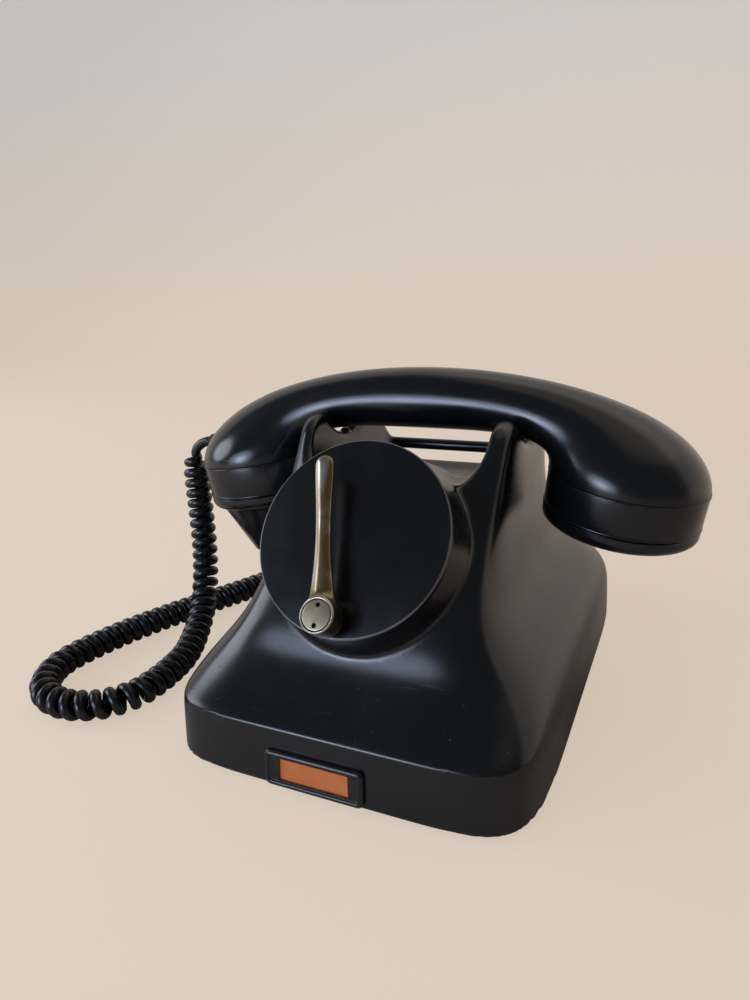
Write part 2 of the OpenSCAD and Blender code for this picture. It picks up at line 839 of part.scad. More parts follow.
// Terminal block at the rear, with its screws.
terminal_w = 56;
terminal_d = 9;
terminal_h = 11;
terminal_y = base_d / 2 - wall - skirt_draft - 2 - terminal_d;
terminal_count = 6;
function terminal_x(k) = terminal_w * ((k + 0.5) / terminal_count - 0.5);
module terminal_block() {
    color("#4a2d1c") difference() {
        translate([-terminal_w / 2, terminal_y, floor_z + seat_gap])
            cube([terminal_w, terminal_d, terminal_h]);
        for (k = [0 : terminal_count - 1])
            translate([terminal_x(k), terminal_y + terminal_d / 2, floor_z + terminal_h - 5])
                cylinder(h = terminal_h, r = screw_r + seat_gap);
    }
}
module terminal_screws() {
    sunk = 4.5;
    head_t = 2;
    color(brass) for (k = [0 : terminal_count - 1])
        translate([terminal_x(k), terminal_y + terminal_d / 2, floor_z + terminal_h - sunk]) {
            cylinder(h = sunk + head_t, r = screw_r);
            translate([0, 0, sunk + 2 * seat_gap]) cylinder(h = head_t, r = 2 * screw_r);
        }
}

// Hook switch: a bracket with a pile of contact springs, worked by the yoke.
switch_y = handset_y + 7;
hook_z = 80;
hook_t = 3;
stem_x = 18;
stem_r = 2.5;
bracket_x = 34;
bracket_t = 3;
bracket_w = 14;
spring_t = 0.5;
spring_step = 3;
spring_count = 4;
spring_w = 8;
spring_z = hook_z - 18;
spring_top = spring_z + (spring_count - 1) * spring_step + spring_t;
function spring_low(k) = spring_z + k * spring_step;
module switch_bracket() {
    foot = 14;
    color(steel) {
        translate([bracket_x, switch_y - bracket_w / 2, floor_z + seat_gap])
            cube([bracket_t, bracket_w, spring_top + 3 - floor_z]);
        translate([bracket_x, switch_y - bracket_w / 2, floor_z + seat_gap])
            cube([foot, bracket_w, bracket_t]);
    }
}
module contact_springs() {
    free_x = stem_x - 2 * stem_r;
    color(brass) for (k = [0 : spring_count - 1])
        translate([free_x, switch_y - spring_w / 2, spring_low(k)])
            cube([bracket_x - free_x - 0.5, spring_w, spring_t]);
}
module spring_insulators() {
    block = 9;
    color("#5b3a22") for (k = [0 : spring_count])
        translate([bracket_x - block, switch_y - bracket_w / 2 + 2,
                spring_low(k) - spring_step + spring_t + seat_gap])
            cube([block - seat_gap, bracket_w - 4, spring_step - spring_t - 2 * seat_gap]);
}
module plungers() {
    crown = 0.7;
    color(bakelite) for (side = both_sides)
        translate([side * plunger_x, handset_y, 0]) rotate_extrude()
            polygon([
                [0, hook_z + hook_t + seat_gap], [plunger_r, hook_z + hook_t + seat_gap],
                [plunger_r, plunger_top - crown], [plunger_r - crown, plunger_top], [0, plunger_top]
            ]);
}
module plunger_bushes() {
    color(brass) for (side = both_sides)
        translate([side * plunger_x, handset_y, bush_z]) difference() {
            cylinder(h = bush_len, r = bush_r);
            translate([0, 0, -1]) cylinder(h = bush_len + 2, r = plunger_r + run_gap);
        }
}
module hook_yoke() {
    half = plunger_x + plunger_r / 2;
    front = handset_y - 5;
    color(steel) {
        translate([-half, front, hook_z]) cube([2 * half, switch_y + 5 - front, hook_t]);
        translate([stem_x, switch_y, spring_top + 0.3]) cylinder(h = hook_z - spring_top, r = stem_r);
    }
}

// Label on the front of the skirt: a frame, a card and a clear window.
label_round = 2.5;
card_t = 0.5;
window_t = 0.7;
module rounded_plate(w, h, t, r) {
    hull()
        for (sx = both_sides, sy = both_sides)
            translate([sx * (w / 2 - r), sy * (h / 2 - r), 0]) cylinder(h = t, r = r, $fn = 24);
}
module label_frame() {
    color(bakelite) on_label() translate([0, 0, 2 * seat_gap]) difference() {
        rounded_plate(label_w, label_h, label_t, label_round);
        translate([-card_w / 2, -card_h / 2, -1]) cube([card_w, card_h, label_t + 2]);
    }
}
module label_insert(low, t) {
    inset = 0.1;
    on_label() translate([inset - card_w / 2, inset - card_h / 2, low])
        cube([card_w - 2 * inset, card_h - 2 * inset, t]);
}
module label_card() {
    color(card_orange) label_insert(2 * seat_gap, card_t);
}
module label_window() {
    color([0.9, 0.95, 1, 0.3]) label_insert(card_t + 3 * seat_gap, window_t);
}

// Rubber grommets in the two cord inlets.
module grommet(side, bore) {
    depth = wall + skirt_draft + 2;
    translate([side * inlet_x, inlet_y + seat_gap, inlet_z]) difference() {
        union() {
            along_y(inlet_flange_t, inlet_flange_r);
            translate([0, -depth, 0]) along_y(depth + 1, inlet_r);
        }
        translate([0, -2 * depth, 0]) along_y(4 * depth, bore);
    }
}
module line_cord_grommet() {
    color(rubber) grommet(1, inlet_bore_r);
}
module handset_cord_grommet() {
    color(rubber) grommet(-1, wire_d / 2 + mould_gap);
}

// Handset: rails along its outer and inner lines, with an oval section between them.
half_stations = 12;
section_points = 28;
end_x = cap_x + cap_r * cos(cap_lean);
end_z = cap_z - cap_r * sin(cap_lean);
function outer_rail(a) = [end_x * sin(a), 0, end_z + (handle_top - end_z) * cos(a)];
function inner_rail(a) =
    [neck_x * pow(sin(a), 2 / neck_power), 0, neck_z + (handle_under - neck_z) * pow(cos(a), 2 / neck_power)];
function handset_half(a) = handle_w / 2 + (cap_r - handle_w / 2) * pow(sin(a), 4);
function handset_ring(a, side) =
    let (o = outer_rail(a), i = inner_rail(a), c = (o + i) / 2, u = (o - i) / 2)
    [for (k = [0 : section_points - 1])
        let (t = 360 * k / section_points, p = c + u * cos(t))
        [side * p[0], handset_y - handset_half(a) * sin(t), p[2]]];
function station(i) = 90 * i / half_stations;
// A chamber in each end takes its capsule: straight at the seam, then closing in a cone.
chamber_r = 26;
chamber_top_r = 2;
chamber_straight = 4;
chamber_h = 18;
function chamber_ring(r, h, side) =
    [for (k = [0 : section_points - 1])
        let (t = 360 * k / section_points, across = r * cos(t))
        [side * (cap_x + across * cos(cap_lean) + h * sin(cap_lean)), handset_y - r * sin(t),
            cap_z - across * sin(cap_lean) + h * cos(cap_lean)]];
module handset_body() {
    skin([
        chamber_ring(chamber_top_r, chamber_h, -1),
        chamber_ring(chamber_r, chamber_straight, -1),
        chamber_ring(chamber_r, 0, -1),
        for (i = [half_stations : -1 : 1]) handset_ring(station(i), -1),
        for (i = [0 : half_stations]) handset_ring(station(i), 1),
        chamber_ring(chamber_r, 0, 1),
        chamber_ring(chamber_r, chamber_straight, 1),
        chamber_ring(chamber_top_r, chamber_h, 1)
    ]);
}
// Two holes drilled from the chambers meet in the middle of the handle and take the wires across.
channel_r = 3.5;
channel_z = (handle_top + handle_under) / 2;
channel_fall = 12;
channel_len = 80;
module wire_channel() {
    for (side = both_sides)
        translate([0, handset_y, channel_z]) rotate([0, side * (90 + channel_fall), 0])
            translate([0, 0, -channel_r]) cylinder(h = channel_len + channel_r, r = channel_r);
}
// Cord exit in the handset's left end.
exit_z = cap_z + 4;
exit_len = 11;
exit_bush_r = 4;
exit_x = -end_x - 2;
module cord_exit(r, len) {
    translate([exit_x, handset_y, exit_z]) rotate([0, 90, 0]) cylinder(h = len, r = r);
}
module handset_shell() {
    color(bakelite) difference() {
        handset_body();
        wire_channel();
        cord_exit(exit_bush_r + mould_gap, 2 * exit_len);
    }
}

// Rings, covers and capsules in the two ends. A ledge in each ring carries its capsule.
bead_h = 1.2;
bead_out = 0.4;
ring_wall = 3.8;
ring_bore_r = cap_r - ring_wall;
ring_low_r = cap_r - ring_taper;
ledge_in = 3;
ledge_t = 1.5;
module cap_ring(side) {
    on_cap(side) translate([0, 0, -seat_gap]) rotate_extrude($fn = 96)
        polygon([
            [ring_bore_r, 0], [cap_r + bead_out / 2, 0], [cap_r + bead_out, -bead_h / 2], [cap_r, -bead_h],
            [ring_low_r, -ring_h], [ring_bore_r - ledge_in, -ring_h],
            [ring_bore_r - ledge_in, ledge_t - ring_h], [ring_bore_r, ledge_t - ring_h]
        ]);
}
cover_flat = 16;
cover_edge = 2.5;
cover_steps = 6;
cover_wall = 3;
cover_top = -ring_h - 2 * seat_gap;
function cover_point(a, inset) = [
    cover_flat + (ring_low_r - inset - cover_flat) * sin(a),
    cover_top - cover_edge - (cover_h - inset - cover_edge) * cos(a)
];
module cap_cover(side) {
    hole_r = 1.6;
    hole_ring = 9;
    on_cap(side) difference() {
        rotate_extrude($fn = 96)
            polygon([
                [0, cover_top - cover_h],
                for (i = [0 : cover_steps]) cover_point(90 * i / cover_steps, 0),
                [ring_low_r, cover_top], [ring_low_r - cover_wall, cover_top],
                for (i = [cover_steps : -1 : 0]) cover_point(90 * i / cover_steps, cover_wall),
                [0, cover_top - cover_h + cover_wall]
            ]);
        for (k = [0 : 6])
            rotate([0, 0, 60 * k]) translate([k == 6 ? 0 : hole_ring, 0, cover_top - cover_h - 1])
                cylinder(h = cover_wall + 2, r = hole_r);
    }
}
module capsule(side) {
    bottom = ledge_t - ring_h;
    can_r = ring_bore_r - 0.4;
    can_h = 9;
    on_cap(side) translate([0, 0, bottom]) {
        cylinder(h = can_h, r = can_r);
        translate([0, 0, can_h - 1]) cylinder(h = 4, r = can_r * 0.6);
    }
}
module ear_ring() {
    color(bakelite) cap_ring(1);
}
module ear_cover() {
    color(bakelite) cap_cover(1);
}
module receiver_capsule() {
    color(steel) capsule(1);
}
module mouth_ring() {
    color(bakelite) cap_ring(-1);
}
module mouth_cover() {
    color(bakelite) cap_cover(-1);
}
module transmitter_capsule() {
    color(steel) capsule(-1);
}

// Horn below the mouthpiece cover, open at its lower end, seated on two of the cover's slopes.
horn_seat = [0, -0.1];
module mouthpiece_horn() {
    top_out = cover_point(45, 0) + horn_seat;
    top_in = cover_point(30, 0) + horn_seat;
    low = top_out[1] - horn_len;
    lip = horn_wall / 4;
    color(bakelite) on_cap(-1) rotate_extrude($fn = 96)
        polygon([
            top_out, [horn_r, low + lip], [horn_r - lip, low], [horn_r - horn_wall + lip, low],
            [horn_r - horn_wall, low + lip], top_in
        ]);
}

// Rubber bush where the cord leaves the handset.
module handset_cord_bush() {
    color(rubber) difference() {
        cord_exit(exit_bush_r, exit_len);
        translate([-1, 0, 0]) cord_exit(wire_d / 2 + mould_gap, exit_len + 2);
    }
}

// Route of the handset cord's middle line, from the handset's left end to the rear inlet.
lead_z = exit_z;
lie_z = curl_d / 2 + 0.3;
cord_in = [
    [exit_x + 9, handset_y, lead_z], [exit_x - 1, handset_y, lead_z],
    [-127, 12, lead_z - 0.5], [-131, 11.5, lead_z - 3.5], [-132.5, 11, lead_z - 8]
];
cord_coil = [
    [-133, 11, 88], [-133, 10.5, 78], [-132, 9, 58], [-129.5, 5, 41], [-126, -2, 27], [-121, -13, 16],
    [-115.5, -27, 9.5], [-110, -42, lie_z], [-107, -56, lie_z], [-106.5, -69.5, lie_z], [-109, -81.5, lie_z],
    [-116.5, -91.5, lie_z], [-127.5, -97, lie_z], [-139.5, -97.5, lie_z], [-150.5, -93, lie_z],
    [-158.5, -84, lie_z], [-162.5, -72.5, lie_z], [-161.5, -59, lie_z], [-155.5, -37, lie_z],
    [-147, -16, lie_z], [-136.5, 6, lie_z], [-125, 28, lie_z], [-113, 54, lie_z], [-102, 80, lie_z],
    [-92, 100, lie_z]
];
cord_out = [
    [-86, 109, 7], [-78, 117, 7], [-66, 123, 8], [-54, 124, 10.5], [-46.5, 118.5, 13],
    [-inlet_x, inlet_y + 3, inlet_z], [-inlet_x, inlet_y - 5, inlet_z]
];
cord_route = concat(cord_in, cord_coil, cord_out);

// Smooth curve through the route's points, measured along its length.
spline_steps = 8;
last_point = len(cord_route) - 1;
function route_at(i) = cord_route[min(max(i, 0), last_point)];
function spline(i, t) =
    let (a = route_at(i - 1), b = route_at(i), c = route_at(i + 1), d = route_at(i + 2))
    0.5 * (2 * b + (c - a) * t + (2 * a - 5 * b + 4 * c - d) * t * t + (3 * b - a - 3 * c + d) * t * t * t);
curve = [
    for (i = [0 : last_point - 1], j = [0 : spline_steps - 1]) spline(i, j / spline_steps),
    cord_route[last_point]
];
lengths = [for (i = 0, s = 0; i < len(curve);
    s = s + (i + 1 < len(curve) ? norm(curve[i + 1] - curve[i]) : 0), i = i + 1) s];
cord_len = lengths[len(curve) - 1];
tables = [for (k = [0 : 2]) [for (i = [0 : len(curve) - 1]) [lengths[i], curve[i][k]]]];
function middle(s) = [for (k = [0 : 2]) lookup(s, tables[k])];
coil_from = lengths[len(cord_in) * spline_steps];
coil_to = lengths[(len(cord_in) + len(cord_coil) - 1) * spline_steps];

// Stations along the cord: closer along the coil than along its straight ends.
rings_per_curl = 8;
lead_rings = 14;
tail_rings = 18;
coil_rings = curls * rings_per_curl;
stops = [
    for (i = [0 : lead_rings - 1]) coil_from * i / lead_rings,
    for (i = [0 : coil_rings]) coil_from + (coil_to - coil_from) * i / coil_rings,
    for (i = [1 : tail_rings]) coil_to + (cord_len - coil_to) * i / tail_rings
];
function unit(v) = v / norm(v);
probe = 1.5;
function heading(s) = unit(middle(min(s + probe, cord_len)) - middle(max(s - probe, 0)));
headings = [for (s = stops) heading(s)];
function flatten_to(v, t) = unit(v - (v * t) * t);
sides = [for (i = 0, n = flatten_to([0, 1, 0.3], headings[0]); i < len(stops);
    n = i + 1 < len(stops) ? flatten_to(n, headings[i + 1]) : n, i = i + 1) n];

// The wire winds round the middle line at the curls' radius, which grows from nothing at each end.
curl_r = (curl_d - wire_d) / 2;
ramp = 1.5 * (coil_to - coil_from) / curls;
function ease(t) = let (u = min(max(t, 0), 1)) u * u * (3 - 2 * u);
function wind_r(s) = curl_r * ease((s - coil_from) / ramp) * ease((coil_to - s) / ramp);
function wind_angle(s) = 360 * curls * (min(max(s, coil_from), coil_to) - coil_from) / (coil_to - coil_from);
function outward(i) =
    let (n = sides[i], b = cross(headings[i], n), a = wind_angle(stops[i])) n * cos(a) + b * sin(a);
wire = [for (i = [0 : len(stops) - 1]) middle(stops[i]) + wind_r(stops[i]) * outward(i)];
last_ring = len(wire) - 1;
function wire_heading(i) = unit(wire[min(i + 1, last_ring)] - wire[max(i - 1, 0)]);
wire_sides = 6;
function wire_ring(i) =
    let (t = wire_heading(i), n = flatten_to(outward(i), t), b = cross(t, n))
    [for (k = [0 : wire_sides - 1])
        let (a = 360 * k / wire_sides) wire[i] + wire_d / 2 * (n * cos(a) + b * sin(a))];
module handset_cord() {
    color(rubber) skin([for (i = [0 : last_ring]) wire_ring(i)]);
    apart = rings_per_curl - 2;
    least = min([for (i = [0 : last_ring - apart]) min([
        for (j = [i + apart : last_ring]) norm(wire[i] - wire[j])])]);
    echo(cord_least_gap = least - wire_d, cord_middle_length = cord_len, coil_length = coil_to - coil_from);
}

housing();
base_plate();
rubber_feet();
base_screws();
front_disc();
crank_bush();
crank_lever();
crank_nut();
crank_shaft();
drive_gear();
magneto_front_plate();
magneto_rear_plate();
bearing_bushes();
pole_shoes();
magnets();
armature_core();
armature_winding();
armature_shaft();
armature_pinion();
gongs();
gong_posts();
gong_nuts();
ringer_coils();
ringer_cores();
ringer_yoke();
clapper_pin();
clapper_arm();
clapper_ball();
induction_coil();
capacitor();
terminal_block();
terminal_screws();
switch_bracket();
contact_springs();
spring_insulators();
plungers();
plunger_bushes();
hook_yoke();
label_frame();
label_card();
label_window();
line_cord_grommet();
handset_cord_grommet();
handset_shell();
ear_ring();
ear_cover();
receiver_capsule();
mouth_ring();
mouth_cover();
mouthpiece_horn();
transmitter_capsule();
handset_cord_bush();
handset_cord();
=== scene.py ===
import math

import bmesh
import bpy
import numpy as np
from mathutils import Matrix, Vector


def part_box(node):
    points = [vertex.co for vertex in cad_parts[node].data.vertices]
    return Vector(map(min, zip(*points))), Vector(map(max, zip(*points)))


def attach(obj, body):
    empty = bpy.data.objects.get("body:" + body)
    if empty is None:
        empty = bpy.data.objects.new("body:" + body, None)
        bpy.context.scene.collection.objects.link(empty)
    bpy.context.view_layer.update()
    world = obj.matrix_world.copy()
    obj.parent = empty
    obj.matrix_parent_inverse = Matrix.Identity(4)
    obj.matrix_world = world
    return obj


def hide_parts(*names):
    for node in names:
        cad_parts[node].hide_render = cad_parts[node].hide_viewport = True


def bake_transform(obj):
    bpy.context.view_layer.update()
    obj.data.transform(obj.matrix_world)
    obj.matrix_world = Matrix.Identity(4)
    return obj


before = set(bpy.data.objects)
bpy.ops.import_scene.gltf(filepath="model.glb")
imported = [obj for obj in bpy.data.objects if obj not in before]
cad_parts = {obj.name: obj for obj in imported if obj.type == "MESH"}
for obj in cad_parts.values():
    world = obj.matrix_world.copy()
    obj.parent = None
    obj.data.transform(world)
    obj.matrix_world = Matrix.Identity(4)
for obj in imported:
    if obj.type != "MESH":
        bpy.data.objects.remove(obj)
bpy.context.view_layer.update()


# Viewpoint: a hand-held camera a forearm's length away, to the right of the front and a little above,
# tipped by a few degrees.
AZIMUTH = math.radians(25.4)
ELEVATION = math.radians(18.0)
ROLL = math.radians(-2.95)
EYE = (0.1157, -0.2914, 0.1859)
LONG_SIDE = 36.0
LENS = 26.25
camera = bpy.data.objects.new("viewpoint", bpy.data.cameras.new("viewpoint"))
camera.data.sensor_fit = "VERTICAL"
camera.data.sensor_height = LONG_SIDE
camera.data.lens = LENS
camera.data.clip_start = 0.01
camera.matrix_world = (
    Matrix.Translation(EYE)
    @ Matrix.Rotation(AZIMUTH, 4, "Z")
    @ Matrix.Rotation(math.pi / 2 - ELEVATION, 4, "X")
    @ Matrix.Rotation(ROLL, 4, "Z")
)
bpy.context.scene.collection.objects.link(camera)
bpy.context.scene.camera = camera


# Curly cord from the handset's left end to the rear of the base. It is a round rubber-sheathed lead
# wound into close curls, hanging beside the base and lying in one loop on the table.
MM = 0.001
WIRE_D = 5.1
CURL_D = 13.8
CURL_GAP = 0.35
RINGS_PER_CURL = 20
PLAIN_RINGS = 60
ROUTE_STEP = 0.25
BEND_SPAN = 60
FIRST_SIDE = (0, 1, 0.3)
WIRE_SIDES = 12
EXIT = (-121.06, 12.0, 101.0)
INLET = (-45.0, 103.72, 14.0)
LIE = 7.0
LEAD_IN = [
    (EXIT[0] + 9, 12, 101), (EXIT[0] - 1, 12, 101), (-126, 12, 100.2), (-130, 11.8, 98),
]
CURLED = [
    (-132.4, 11.4, 94), (-133, 10.6, 80), (-132, 9, 58), (-129.5, 5, 41), (-126, -2, 27), (-121, -13, 16),
    (-115.5, -27, 9.5), (-110, -42, LIE), (-107, -56, LIE), (-106.5, -69.5, LIE), (-109, -81.5, LIE),
    (-116.5, -91.5, LIE), (-127.5, -97, LIE), (-139.5, -97.5, LIE), (-150.5, -93, LIE), (-158.5, -84, LIE),
    (-162.5, -72.5, LIE), (-161.5, -59, LIE), (-155.5, -37, LIE), (-147, -16, LIE), (-136.5, 6, LIE),
    (-125, 28, LIE), (-113, 54, LIE), (-102, 80, LIE), (-92, 100, LIE),
]
LEAD_OUT = [
    (-86, 109, 7), (-78, 117, 7), (-66, 123, 8), (-54, 124, 10.5), (-46.5, 118.5, 13),
    (INLET[0], INLET[1] + 3, INLET[2]), (INLET[0], INLET[1] - 5, INLET[2]),
]


def smooth_curve(points, step):
    """Catmull-Rom curve through the points, at an even step along it, and how far along each point lies."""
    p = np.asarray(points, float)
    p = np.vstack([2 * p[0] - p[1], p, 2 * p[-1] - p[-2]])
    t = np.linspace(0, 1, 40, endpoint=False)[:, None]
    spans = []
    for a, b, c, d in zip(p, p[1:], p[2:], p[3:]):
        spans.append(0.5 * (2 * b + (c - a) * t + (2 * a - 5 * b + 4 * c - d) * t**2 + (3 * (b - c) + d - a) * t**3))
    dense = np.vstack(spans + [p[-2:-1]])
    along = np.concatenate([[0], np.cumsum(np.linalg.norm(np.diff(dense, axis=0), axis=1))])
    even = np.linspace(0, along[-1], int(along[-1] / step) + 1)
    curve = np.stack([np.interp(even, along, dense[:, k]) for k in range(3)], axis=1)
    return curve, even, along[:: len(t)]


def carried_frame(curve, first):
    """Headings along a curve, with a side vector carried along it without twist and its partner."""
    heading = np.gradient(curve, axis=0)
    heading /= np.linalg.norm(heading, axis=1)[:, None]
    side = np.empty_like(curve)
    now = np.asarray(first, float)
    for i, h in enumerate(heading):
        now = now - h * (now @ h)
        now /= np.linalg.norm(now)
        side[i] = now
    return heading, side, np.cross(heading, side)


def ease(x):
    x = np.clip(x, 0, 1)
    return x * x * (3 - 2 * x)


def new_piece(name, verts, faces, smooth=True):
    """A mesh object at the origin from points in millimetres."""
    mesh = bpy.data.meshes.new(name)
    mesh.from_pydata((np.asarray(verts, float) * MM).tolist(), [], [list(map(int, f)) for f in faces])
    mesh.polygons.foreach_set("use_smooth", [smooth] * len(mesh.polygons))
    obj = bpy.data.objects.new(name, mesh)
    bpy.context.scene.collection.objects.link(obj)
    return obj


def tube(name, line, radius, sides, first):
    """A closed tube along a line, with u round it and v along it in metres."""
    _, side, up = carried_frame(line, first)
    turn = 2 * np.pi * np.arange(sides) / sides
    ring = side[:, None] * np.cos(turn)[None, :, None] + up[:, None] * np.sin(turn)[None, :, None]
    verts = (line[:, None] + radius * ring).reshape(-1, 3)
    n = len(line)
    faces = []
    for i in range(n - 1):
        for j in range(sides):
            k = (j + 1) % sides
            faces.append((i * sides + j, i * sides + k, (i + 1) * sides + k, (i + 1) * sides + j))
    faces.append(range(sides - 1, -1, -1))
    faces.append(range((n - 1) * sides, n * sides))
    piece = new_piece(name, verts, faces)
    along = np.concatenate([[0], np.cumsum(np.linalg.norm(np.diff(line, axis=0), axis=1))]) * MM
    layer = piece.data.uv_layers.new(name="along")
    for face in piece.data.polygons:
        seam = face.vertices[0] % sides == sides - 1
        for loop in face.loop_indices:
            v = piece.data.loops[loop].vertex_index
            column = v % sides
            layer.data[loop].uv = ((sides if seam and column == 0 else column) / sides, along[v // sides])
    return piece


route, reach, marks = smooth_curve(LEAD_IN + CURLED + LEAD_OUT, ROUTE_STEP)
heading, side, up = carried_frame(route, FIRST_SIDE)
coil_from, coil_to = marks[len(LEAD_IN)], marks[len(LEAD_IN) + len(CURLED) - 1]
curl_r = (CURL_D - WIRE_D) / 2
bend = np.linalg.norm(np.gradient(heading, ROUTE_STEP, axis=0), axis=1)
bend = np.convolve(bend, np.ones(BEND_SPAN) / BEND_SPAN, mode="same")
pitch = (WIRE_D + CURL_GAP) / np.clip(1 - curl_r * bend, 0.5, 1)
in_coil = (reach >= coil_from) & (reach <= coil_to)
turns = np.cumsum(np.where(in_coil, ROUTE_STEP / pitch, 0))
settle = 1.2 * (WIRE_D + CURL_GAP)
swell = curl_r * ease((reach - coil_from) / settle) * ease((coil_to - reach) / settle)
angle = 2 * np.pi * turns
wound = route + swell[:, None] * (np.cos(angle)[:, None] * side + np.sin(angle)[:, None] * up)
wound_along = np.concatenate([[0], np.cumsum(np.linalg.norm(np.diff(wound, axis=0), axis=1))])
rings = int(turns[-1] * RINGS_PER_CURL + PLAIN_RINGS)
even = np.linspace(0, wound_along[-1], rings)
wire_line = np.stack([np.interp(even, wound_along, wound[:, k]) for k in range(3)], axis=1)
handset_lead = tube("handset_lead", wire_line, WIRE_D / 2, WIRE_SIDES, FIRST_SIDE)


def linear(code):
    """An sRGB hex colour as linear RGBA."""
    parts = [int(code[i : i + 2], 16) / 255 for i in (1, 3, 5)]
    return (*[c / 12.92 if c <= 0.04045 else ((c + 0.055) / 1.055) ** 2.4 for c in parts], 1.0)


def feed(tree, node, inputs):
    """Sets a node's inputs, by socket name or number, to values, sockets or the first output of other nodes."""
    for key, value in inputs.items():
        if isinstance(value, bpy.types.Node):
            value = next(socket for socket in value.outputs if not socket.is_unavailable)
        if isinstance(value, bpy.types.NodeSocket):
            tree.links.new(value, node.inputs[key])
        else:
            node.inputs[key].default_value = value


def add(tree, kind, inputs=None, **settings):
    """Adds a node: settings are its properties, and inputs go to feed."""
    made = tree.nodes.new(kind)
    for key, value in settings.items():
        setattr(made, key, value)
    feed(tree, made, inputs or {})
    return made


def finish_named(name, **sockets):
    """A material with one principled shader and the constant values of its sockets, and its object coordinates."""
    made = bpy.data.materials.new(name)
    made.use_nodes = True
    shader = made.node_tree.nodes["Principled BSDF"]
    for key, value in sockets.items():
        shader.inputs[key.replace("_", " ")].default_value = value
    return made, made.node_tree, shader, add(made.node_tree, "ShaderNodeTexCoord").outputs["Object"]


# Sheath rubber: extruded, glossy where it is handled, with a faint bloom in the hollows.
cord_rubber, tree, shader, spot = finish_named("extruded_black_rubber", IOR=1.52)
along = add(tree, "ShaderNodeUVMap", uv_map="along").outputs["UV"]
bloom = add(tree, "ShaderNodeTexNoise", {"Vector": spot, "Scale": 1 / (6 * MM), "Detail": 4.0})
tone = add(tree, "ShaderNodeValToRGB", {"Fac": bloom})
tone.color_ramp.elements[0].position, tone.color_ramp.elements[1].position = 0.35, 0.75
tone.color_ramp.elements[0].color, tone.color_ramp.elements[1].color = linear("#0a0b0d"), linear("#16181a")
gloss = add(tree, "ShaderNodeMapRange", {"Value": bloom, "To Min": 0.2, "To Max": 0.34})
die_lines = add(tree, "ShaderNodeTexNoise", {
    "Vector": add(tree, "ShaderNodeMapping", {"Vector": along, "Scale": (14, 20, 1)}),
    "Scale": 1.0, "Detail": 2.0})
relief = add(tree, "ShaderNodeBump", {"Height": die_lines, "Strength": 0.12, "Distance": 0.1 * MM})
feed(tree, shader, {"Base Color": tone, "Roughness": gloss, "Normal": relief})
handset_lead.data.materials.append(cord_rubber)

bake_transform(handset_lead)
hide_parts("handset_cord")


# Moulded housing: one thick-walled shell of black phenolic resin, pressed in a hardened mould, with a
# drum for the front disc, four prongs for the handset, a trough and a carrying bar behind.
SKIRT_GAP, SKIRT_H, SKIRT_DRAFT, WALL = 2.0, 27.0, 2.0, 4.0
PLAN_POWER = 7.6
WAIST_HALF, FLARE_H = 47.5, 29.3
WAIST_REAR, REAR_FLARE_H = 50.0, 45.0
PRONG_H, PRONG_RISE = 121.5, 0.06
TROUGH_HALF, TROUGH_Z, TROUGH_FALL, TROUGH_R = 38.5, 101.0, 0.09, 20.0
SADDLE_Y, SADDLE_Z, SADDLE_R = 12.0, 110.73, 25.0
BAR_Y, BAR_Z, BAR_R = 46.0, 97.4, 2.8
SCOOP_HALF, SCOOP_R = 17.0, 15.0
DISC_MIDDLE = np.array([0, -69.7, 91.5])
DISC_RISE = math.radians(36.87)
DISC_R, DISC_T, DRUM_D, DRUM_LEN = 38.2, 3.0, 17.0, 38.0
DRUM_R = DISC_R - 1.2
SHOULDER, EDGE_ROUND, TIP_ROUND, DRUM_FILLET, DRUM_DRAFT = 8.0, 4.0, 6.0, 2.6, 0.24
HOLLOW_D, HOLLOW_Z, HOLLOW_H = 2.2, 42.0, 9.0
SLOPE_FOOT_D, SLOPE_FOOT_H, BAR_FILLET, INLET_R = 5.4, 2.7, 2.5, 6.2
NET_STEP = 1.5

low, high = (np.array(corner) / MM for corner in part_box("housing"))
BASE_HALF, BASE_FRONT, BASE_REAR = high[0], -104.0, 104.0


def blend_min(a, b, k):
    """The lesser of two distances, rounded where they are within k of each other."""
    h = np.clip(0.5 + 0.5 * (b - a) / k, 0, 1)
    return b + (a - b) * h - k * h * (1 - h)


def blend_max(a, b, k):
    return -blend_min(-a, -b, k)


def skirt_in(z):
    return SKIRT_DRAFT * (z - SKIRT_GAP) / (SKIRT_H - SKIRT_GAP)


def flared(base, waist, z, start, span):
    bell = np.exp(-((np.maximum(z - start, 0) / span) ** 2))
    return blend_min(base - skirt_in(z), waist + (base - skirt_in(start) - waist) * bell, 2.0)


def body_level(x, y, z, inset):
    """1 on the moulded body's side walls, less inside them."""
    slope_y = DISC_MIDDLE[1] + DRUM_D * math.cos(DISC_RISE)
    slope_z = DISC_MIDDLE[2] - DRUM_D * math.sin(DISC_RISE)
    foot = SLOPE_FOOT_D * np.exp(-(np.maximum(z, SKIRT_H - 6) - SKIRT_H) / SLOPE_FOOT_H)
    hollow = HOLLOW_D * np.exp(-(((z - HOLLOW_Z) / HOLLOW_H) ** 2))
    slope = slope_y + (z - slope_z) * math.tan(DISC_RISE) - foot + hollow
    front = blend_max(BASE_FRONT + skirt_in(z), slope, SHOULDER) + inset / math.cos(DISC_RISE)
    rear = flared(BASE_REAR, WAIST_REAR, z, SKIRT_H - 5, REAR_FLARE_H) - inset
    half = flared(BASE_HALF, WAIST_HALF, z, SKIRT_H - 7, FLARE_H) - inset
    across = np.abs(x) / half
    along = np.abs(2 * y - front - rear) / (rear - front)
    return (across**PLAN_POWER + along**PLAN_POWER) ** (1 / PLAN_POWER)


